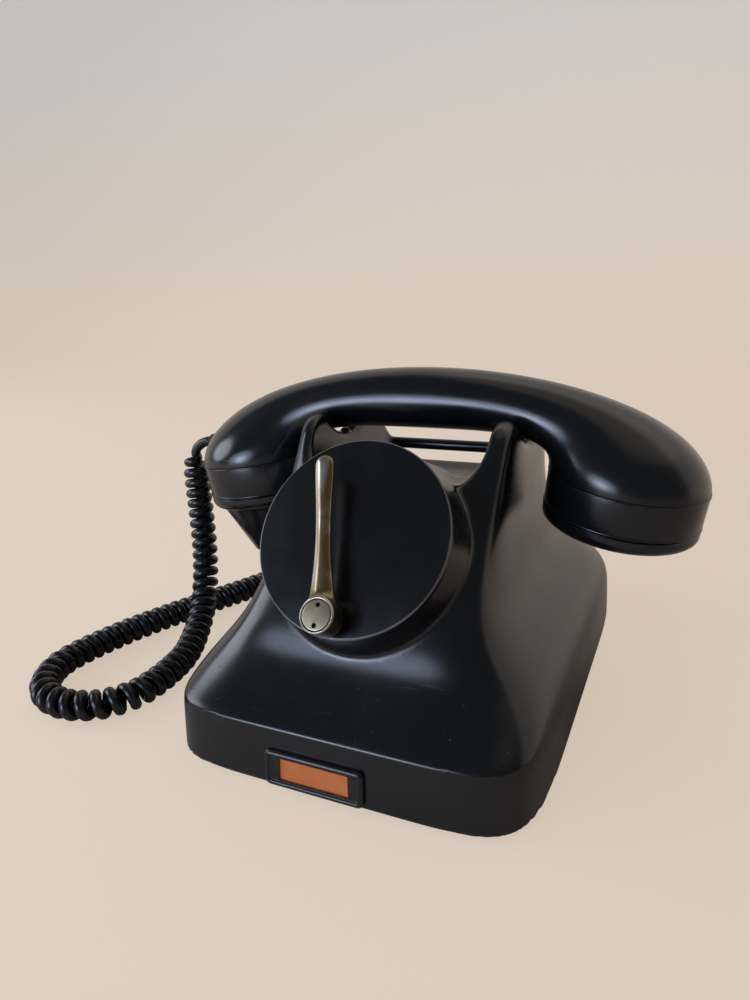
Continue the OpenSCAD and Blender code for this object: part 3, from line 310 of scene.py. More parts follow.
def body_side(x, y, z, inset=0.0):
    """Distance to the body's side walls, to first order."""
    step = 0.2
    level = body_level(x, y, z, inset)
    slopes = [
        body_level(x + step * (k == 0), y + step * (k == 1), z + step * (k == 2), inset) - level for k in range(3)
    ]
    return (level - 1) * step / np.maximum(np.sqrt(sum(s * s for s in slopes)), 0.002)


def trough_floor(y):
    return TROUGH_Z - TROUGH_FALL * (y - DISC_MIDDLE[1] - DRUM_D * math.cos(DISC_RISE))


def housing_field(x, y, z):
    """Signed distance in millimetres to the housing's surface, negative in the resin."""
    body = body_side(x, y, z)
    fork_top = PRONG_H + PRONG_RISE * (y - DISC_MIDDLE[1] - DRUM_D * math.cos(DISC_RISE))
    body = blend_max(body, z - fork_top, TIP_ROUND)
    corner = np.maximum(np.abs(x) - TROUGH_HALF + TROUGH_R, 0)
    fall = np.maximum(trough_floor(y) + TROUGH_R - z, 0)
    trough = np.hypot(corner, fall) - TROUGH_R
    body = blend_max(body, -trough, EDGE_ROUND)
    saddle = np.hypot(y - SADDLE_Y, np.minimum(z - SADDLE_Z - SADDLE_R, 0)) - SADDLE_R
    body = blend_max(body, -saddle, EDGE_ROUND)
    pocket = np.sqrt(
        np.maximum(np.abs(x) - SCOOP_HALF, 0) ** 2
        + np.maximum(np.abs(y - BAR_Y - SCOOP_R * 5 / 6) - SCOOP_R / 2, 0) ** 2
        + (z - BAR_Z + SCOOP_R / 2) ** 2
    )
    body = blend_max(body, SCOOP_R - pocket, EDGE_ROUND)
    # Drum behind the front disc, filleted into the slope.
    out = -(y - DISC_MIDDLE[1]) * math.cos(DISC_RISE) + (z - DISC_MIDDLE[2]) * math.sin(DISC_RISE)
    lift = (y - DISC_MIDDLE[1]) * math.sin(DISC_RISE) + (z - DISC_MIDDLE[2]) * math.cos(DISC_RISE)
    from_axis = np.hypot(x, lift)
    drum_side = (from_axis - DRUM_R + DRUM_DRAFT * (out + DISC_T)) / math.hypot(1, DRUM_DRAFT)
    drum = np.maximum(np.maximum(drum_side, out + DISC_T), -DRUM_LEN - out)
    body = blend_min(body, drum, DRUM_FILLET)
    bar = np.sqrt(np.maximum(np.abs(x) - TROUGH_HALF - 2, 0) ** 2 + (y - BAR_Y) ** 2 + (z - BAR_Z) ** 2) - BAR_R
    body = blend_min(body, bar, BAR_FILLET)
    # The hollow inside: walls of even thickness, a deck under the trough, and the drum's bore.
    inner = np.maximum(body_side(x, y, np.maximum(z, SKIRT_GAP), WALL), z - trough_floor(y) + WALL)
    bore = np.maximum(from_axis - DRUM_R + WALL, -DRUM_LEN - out)
    hollow = np.maximum(np.minimum(inner, bore), SCOOP_R + WALL - pocket)
    body = np.maximum(body, -hollow)
    inlet = np.hypot(np.abs(x) - abs(INLET[0]), z - INLET[2]) - INLET_R
    body = np.maximum(body, -np.maximum(inlet, BASE_REAR - 4 * WALL - y))
    return blend_max(body, SKIRT_GAP - z, 1.0)


def field_slope(field, p, step=0.05):
    """A field's gradient at points."""
    offsets = np.eye(3) * step
    return np.stack([(field(*(p + o).T) - field(*(p - o).T)) / (2 * step) for o in offsets], axis=1)


def net_mesh(name, field, low, high, step):
    """A mesh of the surface where a distance field is zero, with the field's own normals."""
    axes = [np.arange(a - 1.5 * step, b + 2.5 * step, step) for a, b in zip(low, high)]
    d = field(*np.meshgrid(*axes, indexing="ij"))
    cells = tuple(n - 1 for n in d.shape)
    total, hits = np.zeros((*cells, 3)), np.zeros(cells)
    corner = {
        (i, j, k): d[i : i + cells[0], j : j + cells[1], k : k + cells[2]]
        for i in (0, 1) for j in (0, 1) for k in (0, 1)
    }
    for start, a in corner.items():
        for axis in range(3):
            if start[axis]:
                continue
            b = corner[tuple(1 if m == axis else start[m] for m in range(3))]
            crossed = (a < 0) != (b < 0)
            share = np.where(crossed, a / np.where(crossed, a - b, 1), 0)
            hits += crossed
            for m in range(3):
                total[..., m] += crossed * (share if m == axis else start[m])
    active = hits > 0
    number = np.full(cells, -1)
    number[active] = np.arange(active.sum())
    where = np.argwhere(active)
    points = np.stack([axes[m][where[:, m]] for m in range(3)], axis=1)
    points += step * total[active] / hits[active][:, None]
    faces = []
    for axis in range(3):
        u, v = (axis + 1) % 3, (axis + 2) % 3
        a = np.take(d, range(d.shape[axis] - 1), axis) < 0
        b = np.take(d, range(1, d.shape[axis]), axis) < 0
        for solid_first in (True, False):
            at = np.argwhere((a != b) & (a == solid_first))
            at = at[(at[:, u] > 0) & (at[:, v] > 0) & (at[:, u] < cells[u]) & (at[:, v] < cells[v])]
            quad = []
            for du, dv in ((1, 1), (0, 1), (0, 0), (1, 0)):
                cell = at.copy()
                cell[:, u] -= du
                cell[:, v] -= dv
                quad.append(number[tuple(cell.T)])
            quad = np.stack(quad if solid_first else quad[::-1], axis=1)
            faces.append(quad)
    faces = np.vstack(faces)
    pairs = np.vstack([faces[:, [m, (m + 1) % 4]] for m in range(4)])
    for _ in range(3):
        pull, count = np.zeros_like(points), np.zeros(len(points))
        np.add.at(pull, pairs[:, 0], points[pairs[:, 1]])
        np.add.at(count, pairs[:, 0], 1)
        points = 0.5 * points + 0.5 * pull / count[:, None]
        for _ in range(2):
            g = field_slope(field, points)
            move = -field(*points.T)[:, None] * g / np.maximum((g * g).sum(1), 0.2)[:, None]
            points += np.clip(move, -step / 2, step / 2)
    piece = new_piece(name, points, faces)
    g = field_slope(field, points)
    piece.data.normals_split_custom_set_from_vertices(g / np.maximum(np.linalg.norm(g, axis=1), 1e-6)[:, None])
    return piece


housing_shell = net_mesh("housing_shell", housing_field, low, high, NET_STEP)

# Phenolic resin, pressed in a polished mould: nearly black, glossy under a film of fine wear. Handling
# leaves duller patches, hairline scratches and a little dust on what faces up.
bakelite, tree, shader, spot = finish_named("pressed_black_phenolic", IOR=1.6)
cloud = add(tree, "ShaderNodeTexNoise", {"Vector": spot, "Scale": 1 / (28 * MM), "Detail": 5.0, "Roughness": 0.6})
hair = add(tree, "ShaderNodeTexNoise", {
    "Vector": add(tree, "ShaderNodeMapping", {
        "Vector": spot, "Rotation": (0.3, 0.5, 0.8), "Scale": (1, 14, 14)}),
    "Scale": 1 / (18 * MM), "Detail": 3.0})
scratch = add(tree, "ShaderNodeMapRange", {
    "Value": hair, "From Min": 0.66, "From Max": 0.74, "To Min": 0.0, "To Max": 1.0})
specks = add(tree, "ShaderNodeTexVoronoi", {"Vector": spot, "Scale": 1 / (5 * MM), "Randomness": 1.0})
speck = add(tree, "ShaderNodeMapRange", {
    "Value": specks, "From Min": 0.03, "From Max": 0.06, "To Min": 1.0, "To Max": 0.0})
facing = add(tree, "ShaderNodeSeparateXYZ", {"Vector": add(tree, "ShaderNodeNewGeometry").outputs["Normal"]})
upward = add(tree, "ShaderNodeMapRange", {
    "Value": facing.outputs["Z"], "From Min": 0.3, "From Max": 0.95, "To Min": 0.0, "To Max": 0.5})
dusty = add(tree, "ShaderNodeMath", {0: speck, 1: upward}, operation="MULTIPLY")
body_tone = add(tree, "ShaderNodeMix", {
    "Factor": cloud, "A": linear("#0a0c0f"), "B": linear("#121417")}, data_type="RGBA")
worn_tone = add(tree, "ShaderNodeMix", {
    "Factor": dusty, "A": body_tone, "B": linear("#8d8a84")}, data_type="RGBA")
dull = add(tree, "ShaderNodeMapRange", {
    "Value": cloud, "From Min": 0.3, "From Max": 0.7, "To Min": 0.19, "To Max": 0.28})
duller = add(tree, "ShaderNodeMath", {
    0: scratch, 1: 0.12, 2: dull}, operation="MULTIPLY_ADD")
orange_peel = add(tree, "ShaderNodeTexNoise", {"Vector": spot, "Scale": 1 / (2.5 * MM), "Detail": 3.0})
relief = add(tree, "ShaderNodeBump", {"Height": orange_peel, "Strength": 0.05, "Distance": 0.2 * MM})
feed(tree, shader, {"Base Color": worn_tone, "Roughness": duller, "Normal": relief})
housing_shell.data.materials.append(bakelite)
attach(housing_shell, "base")
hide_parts("housing")


# Front disc: a thin turned plate of the same resin that closes the drum where a dial would sit. It is
# duller than the housing, and a pale line painted round its front edge stands in for the rim's highlight.
SHARP_EDGE = math.radians(38)
out_dir = Vector((0, -math.cos(DISC_RISE), math.sin(DISC_RISE)))
up_dir = Vector((0, math.sin(DISC_RISE), math.cos(DISC_RISE)))
disc_frame = Matrix((Vector((1, 0, 0)), up_dir, out_dir)).transposed().to_4x4()
disc_frame.translation = Vector(DISC_MIDDLE)


def rounded(corners, steps=5):
    """A profile from (across, along, round) corners, with an arc of that radius in each rounded one."""
    line = []
    for i, (x, y, r) in enumerate(corners):
        here = Vector((x, y))
        if not r:
            line.append(here)
            continue
        before = (Vector(corners[i - 1][:2]) - here).normalized()
        after = (Vector(corners[(i + 1) % len(corners)][:2]) - here).normalized()
        half = before.angle(after) / 2
        middle = here + (before + after).normalized() * (r / math.sin(half))
        start, end = (here + d * (r / math.tan(half)) - middle for d in (before, after))
        for k in range(steps + 1):
            turned_by = start.lerp(end, k / steps)
            line.append(middle + turned_by.normalized() * r)
    return line


def turned(name, profile, place, steps=128, closed=False):
    """A solid of revolution from (radius, height) points, about the z axis of a frame in millimetres."""
    spin = [(math.cos(2 * math.pi * k / steps), math.sin(2 * math.pi * k / steps)) for k in range(steps)]
    verts, faces, rows = [], [], []
    for r, h in profile:
        pole = r < 1e-6
        rows.append((len(verts), pole))
        verts.extend([(0, 0, h)] if pole else [(r * c, r * s, h) for c, s in spin])
    pairs = list(zip(rows, rows[1:] + rows[:1])) if closed else list(zip(rows, rows[1:]))
    for (a, pole_a), (b, pole_b) in pairs:
        for k in range(steps):
            m = (k + 1) % steps
            ring = [a if pole_a else a + k, a if pole_a else a + m, b if pole_b else b + m, b if pole_b else b + k]
            faces.append(list(dict.fromkeys(ring)))
    piece = new_piece(name, [place @ Vector(v) for v in verts], faces)
    outwards = bmesh.new()
    outwards.from_mesh(piece.data)
    bmesh.ops.recalc_face_normals(outwards, faces=outwards.faces)
    outwards.to_mesh(piece.data)
    outwards.free()
    piece.data.set_sharp_from_angle(angle=SHARP_EDGE)
    return piece


plate_profile = rounded([
    (0, 0, 0), (DISC_R, 0, 0.7), (DISC_R, -DISC_T, 0.3), (0, -DISC_T, 0),
])
dial_plate = turned("dial_plate", plate_profile, disc_frame)
# The turned face keeps fine circular tool marks, and rubbing has dulled it.
dull_resin, tree, shader, spot = finish_named("turned_matt_phenolic", IOR=1.58)
on_plate = add(tree, "ShaderNodeMapping", {
    "Vector": spot, "Location": Vector(DISC_MIDDLE) * MM, "Rotation": (math.pi / 2 - DISC_RISE, 0, 0)},
    vector_type="TEXTURE")
cloud = add(tree, "ShaderNodeTexNoise", {"Vector": spot, "Scale": 1 / (14 * MM), "Detail": 6.0, "Roughness": 0.65})
tone = add(tree, "ShaderNodeMix", {
    "Factor": cloud, "A": linear("#080a0d"), "B": linear("#0f1216")}, data_type="RGBA")
# Painted highlight: the face's outer edge and its rounding, broken up by the cloud, are mixed towards a pale grey.
edge = add(tree, "ShaderNodeVectorMath", {0: on_plate, 1: (1, 1, 0)}, operation="MULTIPLY")
from_middle = add(tree, "ShaderNodeVectorMath", {0: edge}, operation="LENGTH")
painted_highlight_band = add(tree, "ShaderNodeMapRange", {
    "Value": from_middle, "From Min": (DISC_R - 0.7) * MM, "From Max": (DISC_R - 0.35) * MM})
on_face = add(tree, "ShaderNodeMapRange", {
    "Value": add(tree, "ShaderNodeSeparateXYZ", {"Vector": on_plate}).outputs["Z"], "From Min": -0.9 * MM,
    "From Max": -0.6 * MM})
rim = add(tree, "ShaderNodeMath", {0: painted_highlight_band, 1: on_face}, operation="MULTIPLY")
broken_painted_highlight = add(tree, "ShaderNodeMath", {0: rim, 1: cloud}, operation="MULTIPLY")
tone_with_painted_highlight = add(tree, "ShaderNodeMix", {
    "Factor": broken_painted_highlight, "A": tone, "B": linear("#9a9489")}, data_type="RGBA")
dull = add(tree, "ShaderNodeMapRange", {
    "Value": cloud, "From Min": 0.3, "From Max": 0.7, "To Min": 0.2, "To Max": 0.28})
marks_round = add(tree, "ShaderNodeTexNoise", {
    "W": add(tree, "ShaderNodeMath", {0: from_middle, 1: 1 / (0.7 * MM)}, operation="MULTIPLY"),
    "Scale": 1.0, "Detail": 2.0}, noise_dimensions="1D")
relief = add(tree, "ShaderNodeBump", {"Height": marks_round, "Strength": 0.06, "Distance": 0.1 * MM})
feed(tree, shader, {"Base Color": tone_with_painted_highlight, "Roughness": dull, "Normal": relief})
dial_plate.data.materials.append(dull_resin)
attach(dial_plate, "base")
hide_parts("front_disc")


# Crank lever: a forged brass hub and slim blade, once plated, that turns the generator. A round nut with
# two spanner holes holds it on its shaft.
LEVER_DOWN, LEVER_LEN, LEVER_LEAN = 32.1, 60.0, math.radians(12)
HUB_R, HUB_LOW, HUB_TOP, NUT_R, NUT_TOP = 6.5, 3.4, 12.9, 5.4, 12.8
RECESS_Z, RECESS_R = 11.6, 5.65
BLADE_Z = 8.4
STATIONS = (3.8, 11.0, 20.0, 36.0, 56.0)
HALF_WIDTHS, HALF_DEPTHS, LIFTS = (5.4, 4.3, 3.35, 3.0, 3.7), (2.9, 2.5, 2.2, 2.0, 1.7), (0.0, 0.2, 0.6, 1.4, 2.6)
FACET_TURN, FACET_IN = math.radians(36), 0.86
width_curve, depth_curve, lift_curve = (np.polyfit(STATIONS, v, 4) for v in (HALF_WIDTHS, HALF_DEPTHS, LIFTS))
hub_frame = disc_frame @ Matrix.Translation((0, -LEVER_DOWN, 0)) @ Matrix.Rotation(LEVER_LEAN, 4, "Z")


def lever_field(x, y, z):
    """Signed distance to the lever: x across the blade, y along it, z away from the disc."""
    along = np.clip(y, STATIONS[0], STATIONS[-1])
    half = np.polyval(width_curve, along)
    deep = np.polyval(depth_curve, along)
    middle = BLADE_Z + np.polyval(lift_curve, along)
    past = np.maximum(y - STATIONS[-1], 0) / HALF_WIDTHS[-1] + np.maximum(STATIONS[0] - y, 0) / HALF_WIDTHS[0]
    level = np.sqrt((x / half) ** 2 + ((z - middle) / deep) ** 2 + past**2)
    steep = np.sqrt((x / half**2) ** 2 + ((z - middle) / deep**2) ** 2 + (past / HALF_WIDTHS[-1]) ** 2)
    blade = level * (level - 1) / np.maximum(steep, 0.02)
    # A flat facet runs along the blade's left shoulder.
    across = (z - middle) * math.cos(FACET_TURN) - x * math.sin(FACET_TURN)
    reach = np.hypot(deep * math.cos(FACET_TURN), half * math.sin(FACET_TURN))
    blade = blend_max(blade, across - FACET_IN * reach, 0.3)
    from_axis = np.hypot(x, y)
    hub = blend_max(from_axis - HUB_R, np.abs(z - (HUB_LOW + HUB_TOP) / 2) - (HUB_TOP - HUB_LOW) / 2, 1.0)
    body = blend_min(blade, hub, 3.5)
    recess = np.maximum(from_axis - RECESS_R, RECESS_Z - z)
    return blend_max(body, -recess, 0.4)


def placed(piece, place):
    """Moves a finished piece's mesh from a frame in millimetres to its place."""
    move = place.copy()
    move.translation *= MM
    piece.data.transform(move)
    return piece


lever_box = ((-HUB_R, -HUB_R, HUB_LOW), (HUB_R, LEVER_LEN, HUB_TOP))
lever = placed(net_mesh("lever", lever_field, *lever_box, 0.42), hub_frame)


def begin_tree(name, *sockets):
    """A geometry node tree with these (name, kind) inputs beside its geometry and finish, and their sockets."""
    made = bpy.data.node_groups.new(name, "GeometryNodeTree")
    for label, kind in (("Geometry", "Geometry"), *sockets, ("Finish", "Material")):
        made.interface.new_socket(label, in_out="INPUT", socket_type="NodeSocket" + kind)
    made.interface.new_socket("Geometry", in_out="OUTPUT", socket_type="NodeSocketGeometry")
    return made, add(made, "NodeGroupInput").outputs


def end_tree(made, given, result):
    """Ends a tree with real geometry that wears the given finish."""
    real = add(made, "GeometryNodeRealizeInstances", {"Geometry": result})
    dressed = add(made, "GeometryNodeSetMaterial", {"Geometry": real, "Material": given["Finish"]})
    add(made, "NodeGroupOutput", {"Geometry": dressed})
    return made


def perforated(name):
    """A geometry node tree that drills a ring of round holes along z, with or without one in the middle."""
    made, given = begin_tree(
        name, ("Holes", "Int"), ("Middle holes", "Int"), ("Hole radius", "Float"), ("Ring radius", "Float"),
        ("Depth", "Float"))
    index = add(made, "GeometryNodeInputIndex").outputs["Index"]
    share = add(made, "ShaderNodeMath", {0: index, 1: given["Holes"]}, operation="DIVIDE")
    angle = add(made, "ShaderNodeMath", {0: share, 1: 2 * math.pi}, operation="MULTIPLY")
    on_ring = add(made, "ShaderNodeMath", {0: index, 1: given["Holes"]}, operation="LESS_THAN")
    reach = add(made, "ShaderNodeMath", {0: on_ring, 1: given["Ring radius"]}, operation="MULTIPLY")
    start = add(made, "ShaderNodeCombineXYZ", {"X": reach})
    spot = add(made, "ShaderNodeVectorRotate", {"Vector": start, "Angle": angle}, rotation_type="Z_AXIS")
    count = add(made, "ShaderNodeMath", {0: given["Holes"], 1: given["Middle holes"]}, operation="ADD")
    points = add(made, "GeometryNodePoints", {"Count": count, "Position": spot})
    drill = add(made, "GeometryNodeMeshCylinder", {
        "Vertices": 24, "Radius": given["Hole radius"], "Depth": given["Depth"]})
    drills = add(made, "GeometryNodeInstanceOnPoints", {
        "Points": points, "Instance": drill})
    solid = add(made, "GeometryNodeRealizeInstances", {"Geometry": drills})
    cut = add(made, "GeometryNodeMeshBoolean", {
        "Mesh 1": given["Geometry"], "Mesh 2": solid}, operation="DIFFERENCE", solver="EXACT")
    return end_tree(made, given, cut)


drilled = perforated("drilled_holes")


def grown(piece, tree, **values):
    """Runs a geometry node tree on a piece and keeps the result as its plain mesh."""
    modifier = piece.modifiers.new(tree.name, "NODES")
    modifier.node_group = tree
    for item in tree.interface.items_tree:
        key = item.name.replace(" ", "_")
        if item.in_out == "INPUT" and key in values:
            modifier[item.identifier] = values[key]
    piece.update_tag()
    mesh = bpy.data.meshes.new_from_object(piece.evaluated_get(bpy.context.evaluated_depsgraph_get()))
    piece.modifiers.remove(modifier)
    piece.data = mesh
    piece.data.set_sharp_from_angle(angle=SHARP_EDGE)
    return piece


# Brass, once nickelled: the plating is worn through to an olive brown on the blade. Painted light is laid
# over it: a pale strip along the blade's left side is a painted highlight, the hub's rim and the nut's top
# are painted pale as highlights where fingers also polish them, and near-black round and under the nut, in
# its holes and on the brass below the hub is painted shade.
aged_brass, tree, shader, spot = finish_named("worn_plated_brass", Metallic=1.0)
patina = add(tree, "ShaderNodeTexNoise", {"Vector": spot, "Scale": 1 / (11 * MM), "Detail": 4.0, "Roughness": 0.5})
tone = add(tree, "ShaderNodeValToRGB", {"Fac": patina})
for stop, (at, code) in zip(
    [*tone.color_ramp.elements, tone.color_ramp.elements.new(0.5)],
    ((0.25, "#85734e"), (0.8, "#b3a37c"), (0.55, "#988661")),
):
    stop.position, stop.color = at, linear(code)
on_hub = add(tree, "ShaderNodeMapping", {
    "Vector": spot, "Location": hub_frame.translation * MM, "Rotation": hub_frame.to_euler()},
    vector_type="TEXTURE")
side, along, high = add(tree, "ShaderNodeSeparateXYZ", {"Vector": on_hub}).outputs
flat = add(tree, "ShaderNodeVectorMath", {0: on_hub, 1: (1, 1, 0)}, operation="MULTIPLY")
from_hub = add(tree, "ShaderNodeVectorMath", {0: flat}, operation="LENGTH")
colour = tone
# Painted light: a pale highlight strip on the blade's left side, pale highlight rims on the hub and nut top, and
# near-black painted shade in the gap, holes and underside round the nut.
for (value, low, top), (also, also_low, also_top), code in (
    ((side, -1.2, -1.9), (along, 8, 14), "#d2cdc0"),
    ((from_hub, 5.6, 5.8), (high, 12.1, 12.5), "#cdc6b4"),
    ((from_hub, 5.55, 5.45), (high, NUT_TOP - 0.35, NUT_TOP - 0.15), "#cabf9f"),
    ((from_hub, 5.6, 5.5), (high, NUT_TOP - 0.15, NUT_TOP - 0.35), "#0b0907"),
):
    one, two = (add(tree, "ShaderNodeMapRange", {"Value": v, "From Min": a * MM, "From Max": b * MM})
                for v, a, b in ((value, low, top), (also, also_low, also_top)))
    painted_light_mask = add(tree, "ShaderNodeMath", {0: one, 1: two}, operation="MULTIPLY")
    colour = add(tree, "ShaderNodeMix", {"Factor": painted_light_mask, "A": colour, "B": linear(code)}, data_type="RGBA")
gloss = add(tree, "ShaderNodeMapRange", {
    "Value": patina, "From Min": 0.3, "From Max": 0.7, "To Min": 0.36, "To Max": 0.27})
rub = add(tree, "ShaderNodeTexNoise", {
    "Vector": add(tree, "ShaderNodeMapping", {"Vector": spot, "Scale": (12, 1, 1)}),
    "Scale": 1 / (4 * MM), "Detail": 3.0})
relief = add(tree, "ShaderNodeBump", {"Height": rub, "Strength": 0.1, "Distance": 0.05 * MM})
feed(tree, shader, {"Base Color": colour, "Roughness": gloss, "Normal": relief})
lever.data.materials.append(aged_brass)
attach(lever, "crank")
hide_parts("crank_lever")

nut_profile = rounded([(0, NUT_TOP, 0), (NUT_R, NUT_TOP, 0.35), (NUT_R, RECESS_Z + 0.05, 0), (0, RECESS_Z + 0.05, 0)])
lever_nut = turned("lever_nut", nut_profile, Matrix.Identity(4), steps=72)
placed(lever_nut, Matrix.Translation((0, 0, -NUT_TOP)) @ Matrix.Rotation(math.radians(90), 4, "Z"))
grown(
    lever_nut, drilled, Holes=2, Middle_holes=0, Hole_radius=0.85 * MM, Ring_radius=0.66 * NUT_R * MM, Depth=2 * MM,
    Finish=aged_brass)
placed(lever_nut, hub_frame @ Matrix.Rotation(math.radians(-10), 4, "Z") @ Matrix.Rotation(math.radians(90), 4, "Z")
       @ Matrix.Translation((0, 0, NUT_TOP)))
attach(lever_nut, "crank")
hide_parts("crank_nut")


# Label frame: a small moulded frame fixed to the skirt, with a rounded raised rim and a sunk face, that
# holds a paper card behind a clear window.
LABEL_X, LABEL_Z, LABEL_W, LABEL_H = -3.7, 10.0, 40.6, 14.5
SIGHT_W, SIGHT_H = 28.6, 9.0
SEATED = 0.04
lean = math.atan2(SKIRT_DRAFT, SKIRT_H - SKIRT_GAP)
label_frame = Matrix.Translation((LABEL_X, BASE_FRONT + skirt_in(LABEL_Z), LABEL_Z)) @ Matrix.Rotation(
    math.pi / 2 - lean, 4, "X")


def rounded_loop(w, h, r, z, steps=6):
    """A rounded rectangle's corner points, counterclockwise at one height."""
    loop = []
    for k, (sx, sy) in enumerate(((1, 1), (-1, 1), (-1, -1), (1, -1))):
        for i in range(steps + 1):
            turn = math.pi / 2 * (k + i / steps)
            loop.append((sx * (w / 2 - r) + r * math.cos(turn), sy * (h / 2 - r) + r * math.sin(turn), z))
    return loop


def stacked(name, loops, place, lid=True):
    """A solid skinned over loops of equal length; its ends are filled, or joined as a ring."""
    n = len(loops[0])
    pairs = list(zip(range(len(loops)), range(1, len(loops)))) + ([] if lid else [(len(loops) - 1, 0)])
    faces = [(a * n + i, a * n + (i + 1) % n, b * n + (i + 1) % n, b * n + i) for a, b in pairs for i in range(n)]
    if lid:
        faces += [tuple(range(n))[::-1], tuple(range((len(loops) - 1) * n, len(loops) * n))]
    piece = new_piece(name, [place @ Vector(p) for loop in loops for p in loop], faces)
    piece.data.set_sharp_from_angle(angle=SHARP_EDGE)
    return piece


# Loops from the back edge over the rim and its sunk face to the sight edge: inset, corner radius, height.
RIM_STEPS = (
    (0.0, 2.5, SEATED), (0.0, 2.5, 0.9), (0.12, 2.4, 1.4), (0.45, 2.2, 1.85), (0.95, 1.8, 2.12), (1.4, 1.5, 2.2),
    (1.75, 1.2, 2.15), (2.05, 1.0, 1.95), (2.3, 0.8, 1.55), (2.45, 0.7, 1.5),
)
rim_loops = [
    rounded_loop(LABEL_W - 2 * inset, LABEL_H - 2 * inset, r, h) for inset, r, h in RIM_STEPS
]
rim_loops += [rounded_loop(SIGHT_W, SIGHT_H, 0.5, h) for h in (1.5, 1.36, SEATED)]
label_rim = stacked("label_rim", rim_loops, label_frame, lid=False)


def mottled(name, grain, tones, gloss, stretch=(1, 1, 1), detail=5.0, rough=0.5, spread=(0.0, 1.0), **sockets):
    """A finish whose tone and gloss follow one noise, with grains of this size in millimetres."""
    made, tree, shader, spot = finish_named(name, **sockets)
    if stretch != (1, 1, 1):
        spot = add(tree, "ShaderNodeMapping", {"Vector": spot, "Scale": stretch})
    noise = add(tree, "ShaderNodeTexNoise", {
        "Vector": spot, "Scale": 1 / (grain * MM), "Detail": detail, "Roughness": rough})
    tone = add(tree, "ShaderNodeMix", {
        "Factor": noise, "A": linear(tones[0]), "B": linear(tones[1])}, data_type="RGBA")
    dull = add(tree, "ShaderNodeMapRange", {
        "Value": noise, "From Min": spread[0], "From Max": spread[1], "To Min": gloss[0], "To Max": gloss[1]})
    feed(tree, shader, {"Base Color": tone, "Roughness": dull})
    return made, tree, shader, noise


# The frame is the housing's resin with a coarser, scuffed face where labels were pushed in and out.
scuffed, tree, shader, grain = mottled(
    "scuffed_black_phenolic", 0.5, ("#0a0a0b", "#1d1b1a"), (0.22, 0.4), detail=4.0, rough=0.7, spread=(0.35, 0.65),
    IOR=1.58)
relief = add(tree, "ShaderNodeBump", {"Height": grain, "Strength": 0.22, "Distance": 0.08 * MM})
feed(tree, shader, {"Normal": relief})
label_rim.data.materials.append(scuffed)
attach(label_rim, "base")
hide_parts("label_frame")


# Label card: a bare strip of orange paper cut to the window. It has faded unevenly.
CARD_W, CARD_H, CARD_T = 28.4, 8.8, 0.5
card_loops = [rounded_loop(CARD_W, CARD_H, 0.4, SEATED + h) for h in (0, CARD_T)]
card = stacked("card", card_loops, label_frame)
orange_card, tree, shader, spot = finish_named("faded_orange_paper", Roughness=0.75)
fade = add(tree, "ShaderNodeTexNoise", {"Vector": spot, "Scale": 1 / (9 * MM), "Detail": 3.0})
fibre = add(tree, "ShaderNodeTexNoise", {"Vector": spot, "Scale": 1 / (0.4 * MM), "Detail": 4.0})
aged = add(tree, "ShaderNodeMix", {
    "Factor": fade, "A": linear("#dd6a10"), "B": linear("#ec8a30")}, data_type="RGBA")
flecked = add(tree, "ShaderNodeMix", {
    "Factor": add(tree, "ShaderNodeMapRange", {
        "Value": fibre, "From Min": 0.45, "From Max": 0.8, "To Min": 0.0, "To Max": 0.35}),
    "A": aged, "B": linear("#8a4a1c")}, data_type="RGBA")
feed(tree, shader, {"Base Color": flecked})
card.data.materials.append(orange_card)
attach(card, "base")
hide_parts("label_card")


# Label window: a strip of clear celluloid that keeps the card clean.
PANE_LOW, PANE_TOP = 0.56, 1.26
pane_loops = [rounded_loop(CARD_W, CARD_H, 0.4, h) for h in (PANE_LOW, PANE_TOP)]
pane = stacked("pane", pane_loops, label_frame)
# Clear and faintly scratched: a thin film that lets the card's colour through under a soft gloss.
clear_window, tree, shader, spot = finish_named(
    "aged_clear_celluloid", IOR=1.49, Alpha=0.2, Transmission_Weight=1.0,
    Base_Color=linear("#fff6e6"))
scratch = add(tree, "ShaderNodeTexNoise", {
    "Vector": add(tree, "ShaderNodeMapping", {"Vector": spot, "Scale": (1, 1, 14)}),
    "Scale": 1 / (6 * MM), "Detail": 4.0})
gloss = add(tree, "ShaderNodeMapRange", {
    "Value": scratch, "From Min": 0.4, "From Max": 0.7, "To Min": 0.06, "To Max": 0.2})
feed(tree, shader, {"Roughness": gloss})
pane.data.materials.append(clear_window)
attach(pane, "base")
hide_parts("label_window")


# Handset: a hollow handle of the same pressed resin that swells into a round end over each capsule. It
# lies across the four prongs and lifts straight off.
HANDSET_Y, CAP_X, CAP_Z, CAP_R, CAP_LEAN = 12.0, 87.2, 97.0, 32.2, math.radians(8.4)
HANDLE_TOP, HANDLE_UNDER, HANDLE_HALF = 141.0, 114.2, 15.5
NECK_X = CAP_X - CAP_R * math.cos(CAP_LEAN)
NECK_Z = CAP_Z + CAP_R * math.sin(CAP_LEAN)
NECK_POWER = 3.6
HANDSET_STATIONS, HANDSET_SIDES = 56, 72
SEAM_CUT = 0.55
CHAMBER = ((26, 0), (26, 4), (2, 18))


def cap_frame(side):
    """A cap's frame: z goes up its axis from the seam, which leans outwards on both ends."""
    return Matrix.Translation((side * CAP_X, HANDSET_Y, CAP_Z)) @ Matrix.Rotation(side * CAP_LEAN, 4, "Y")


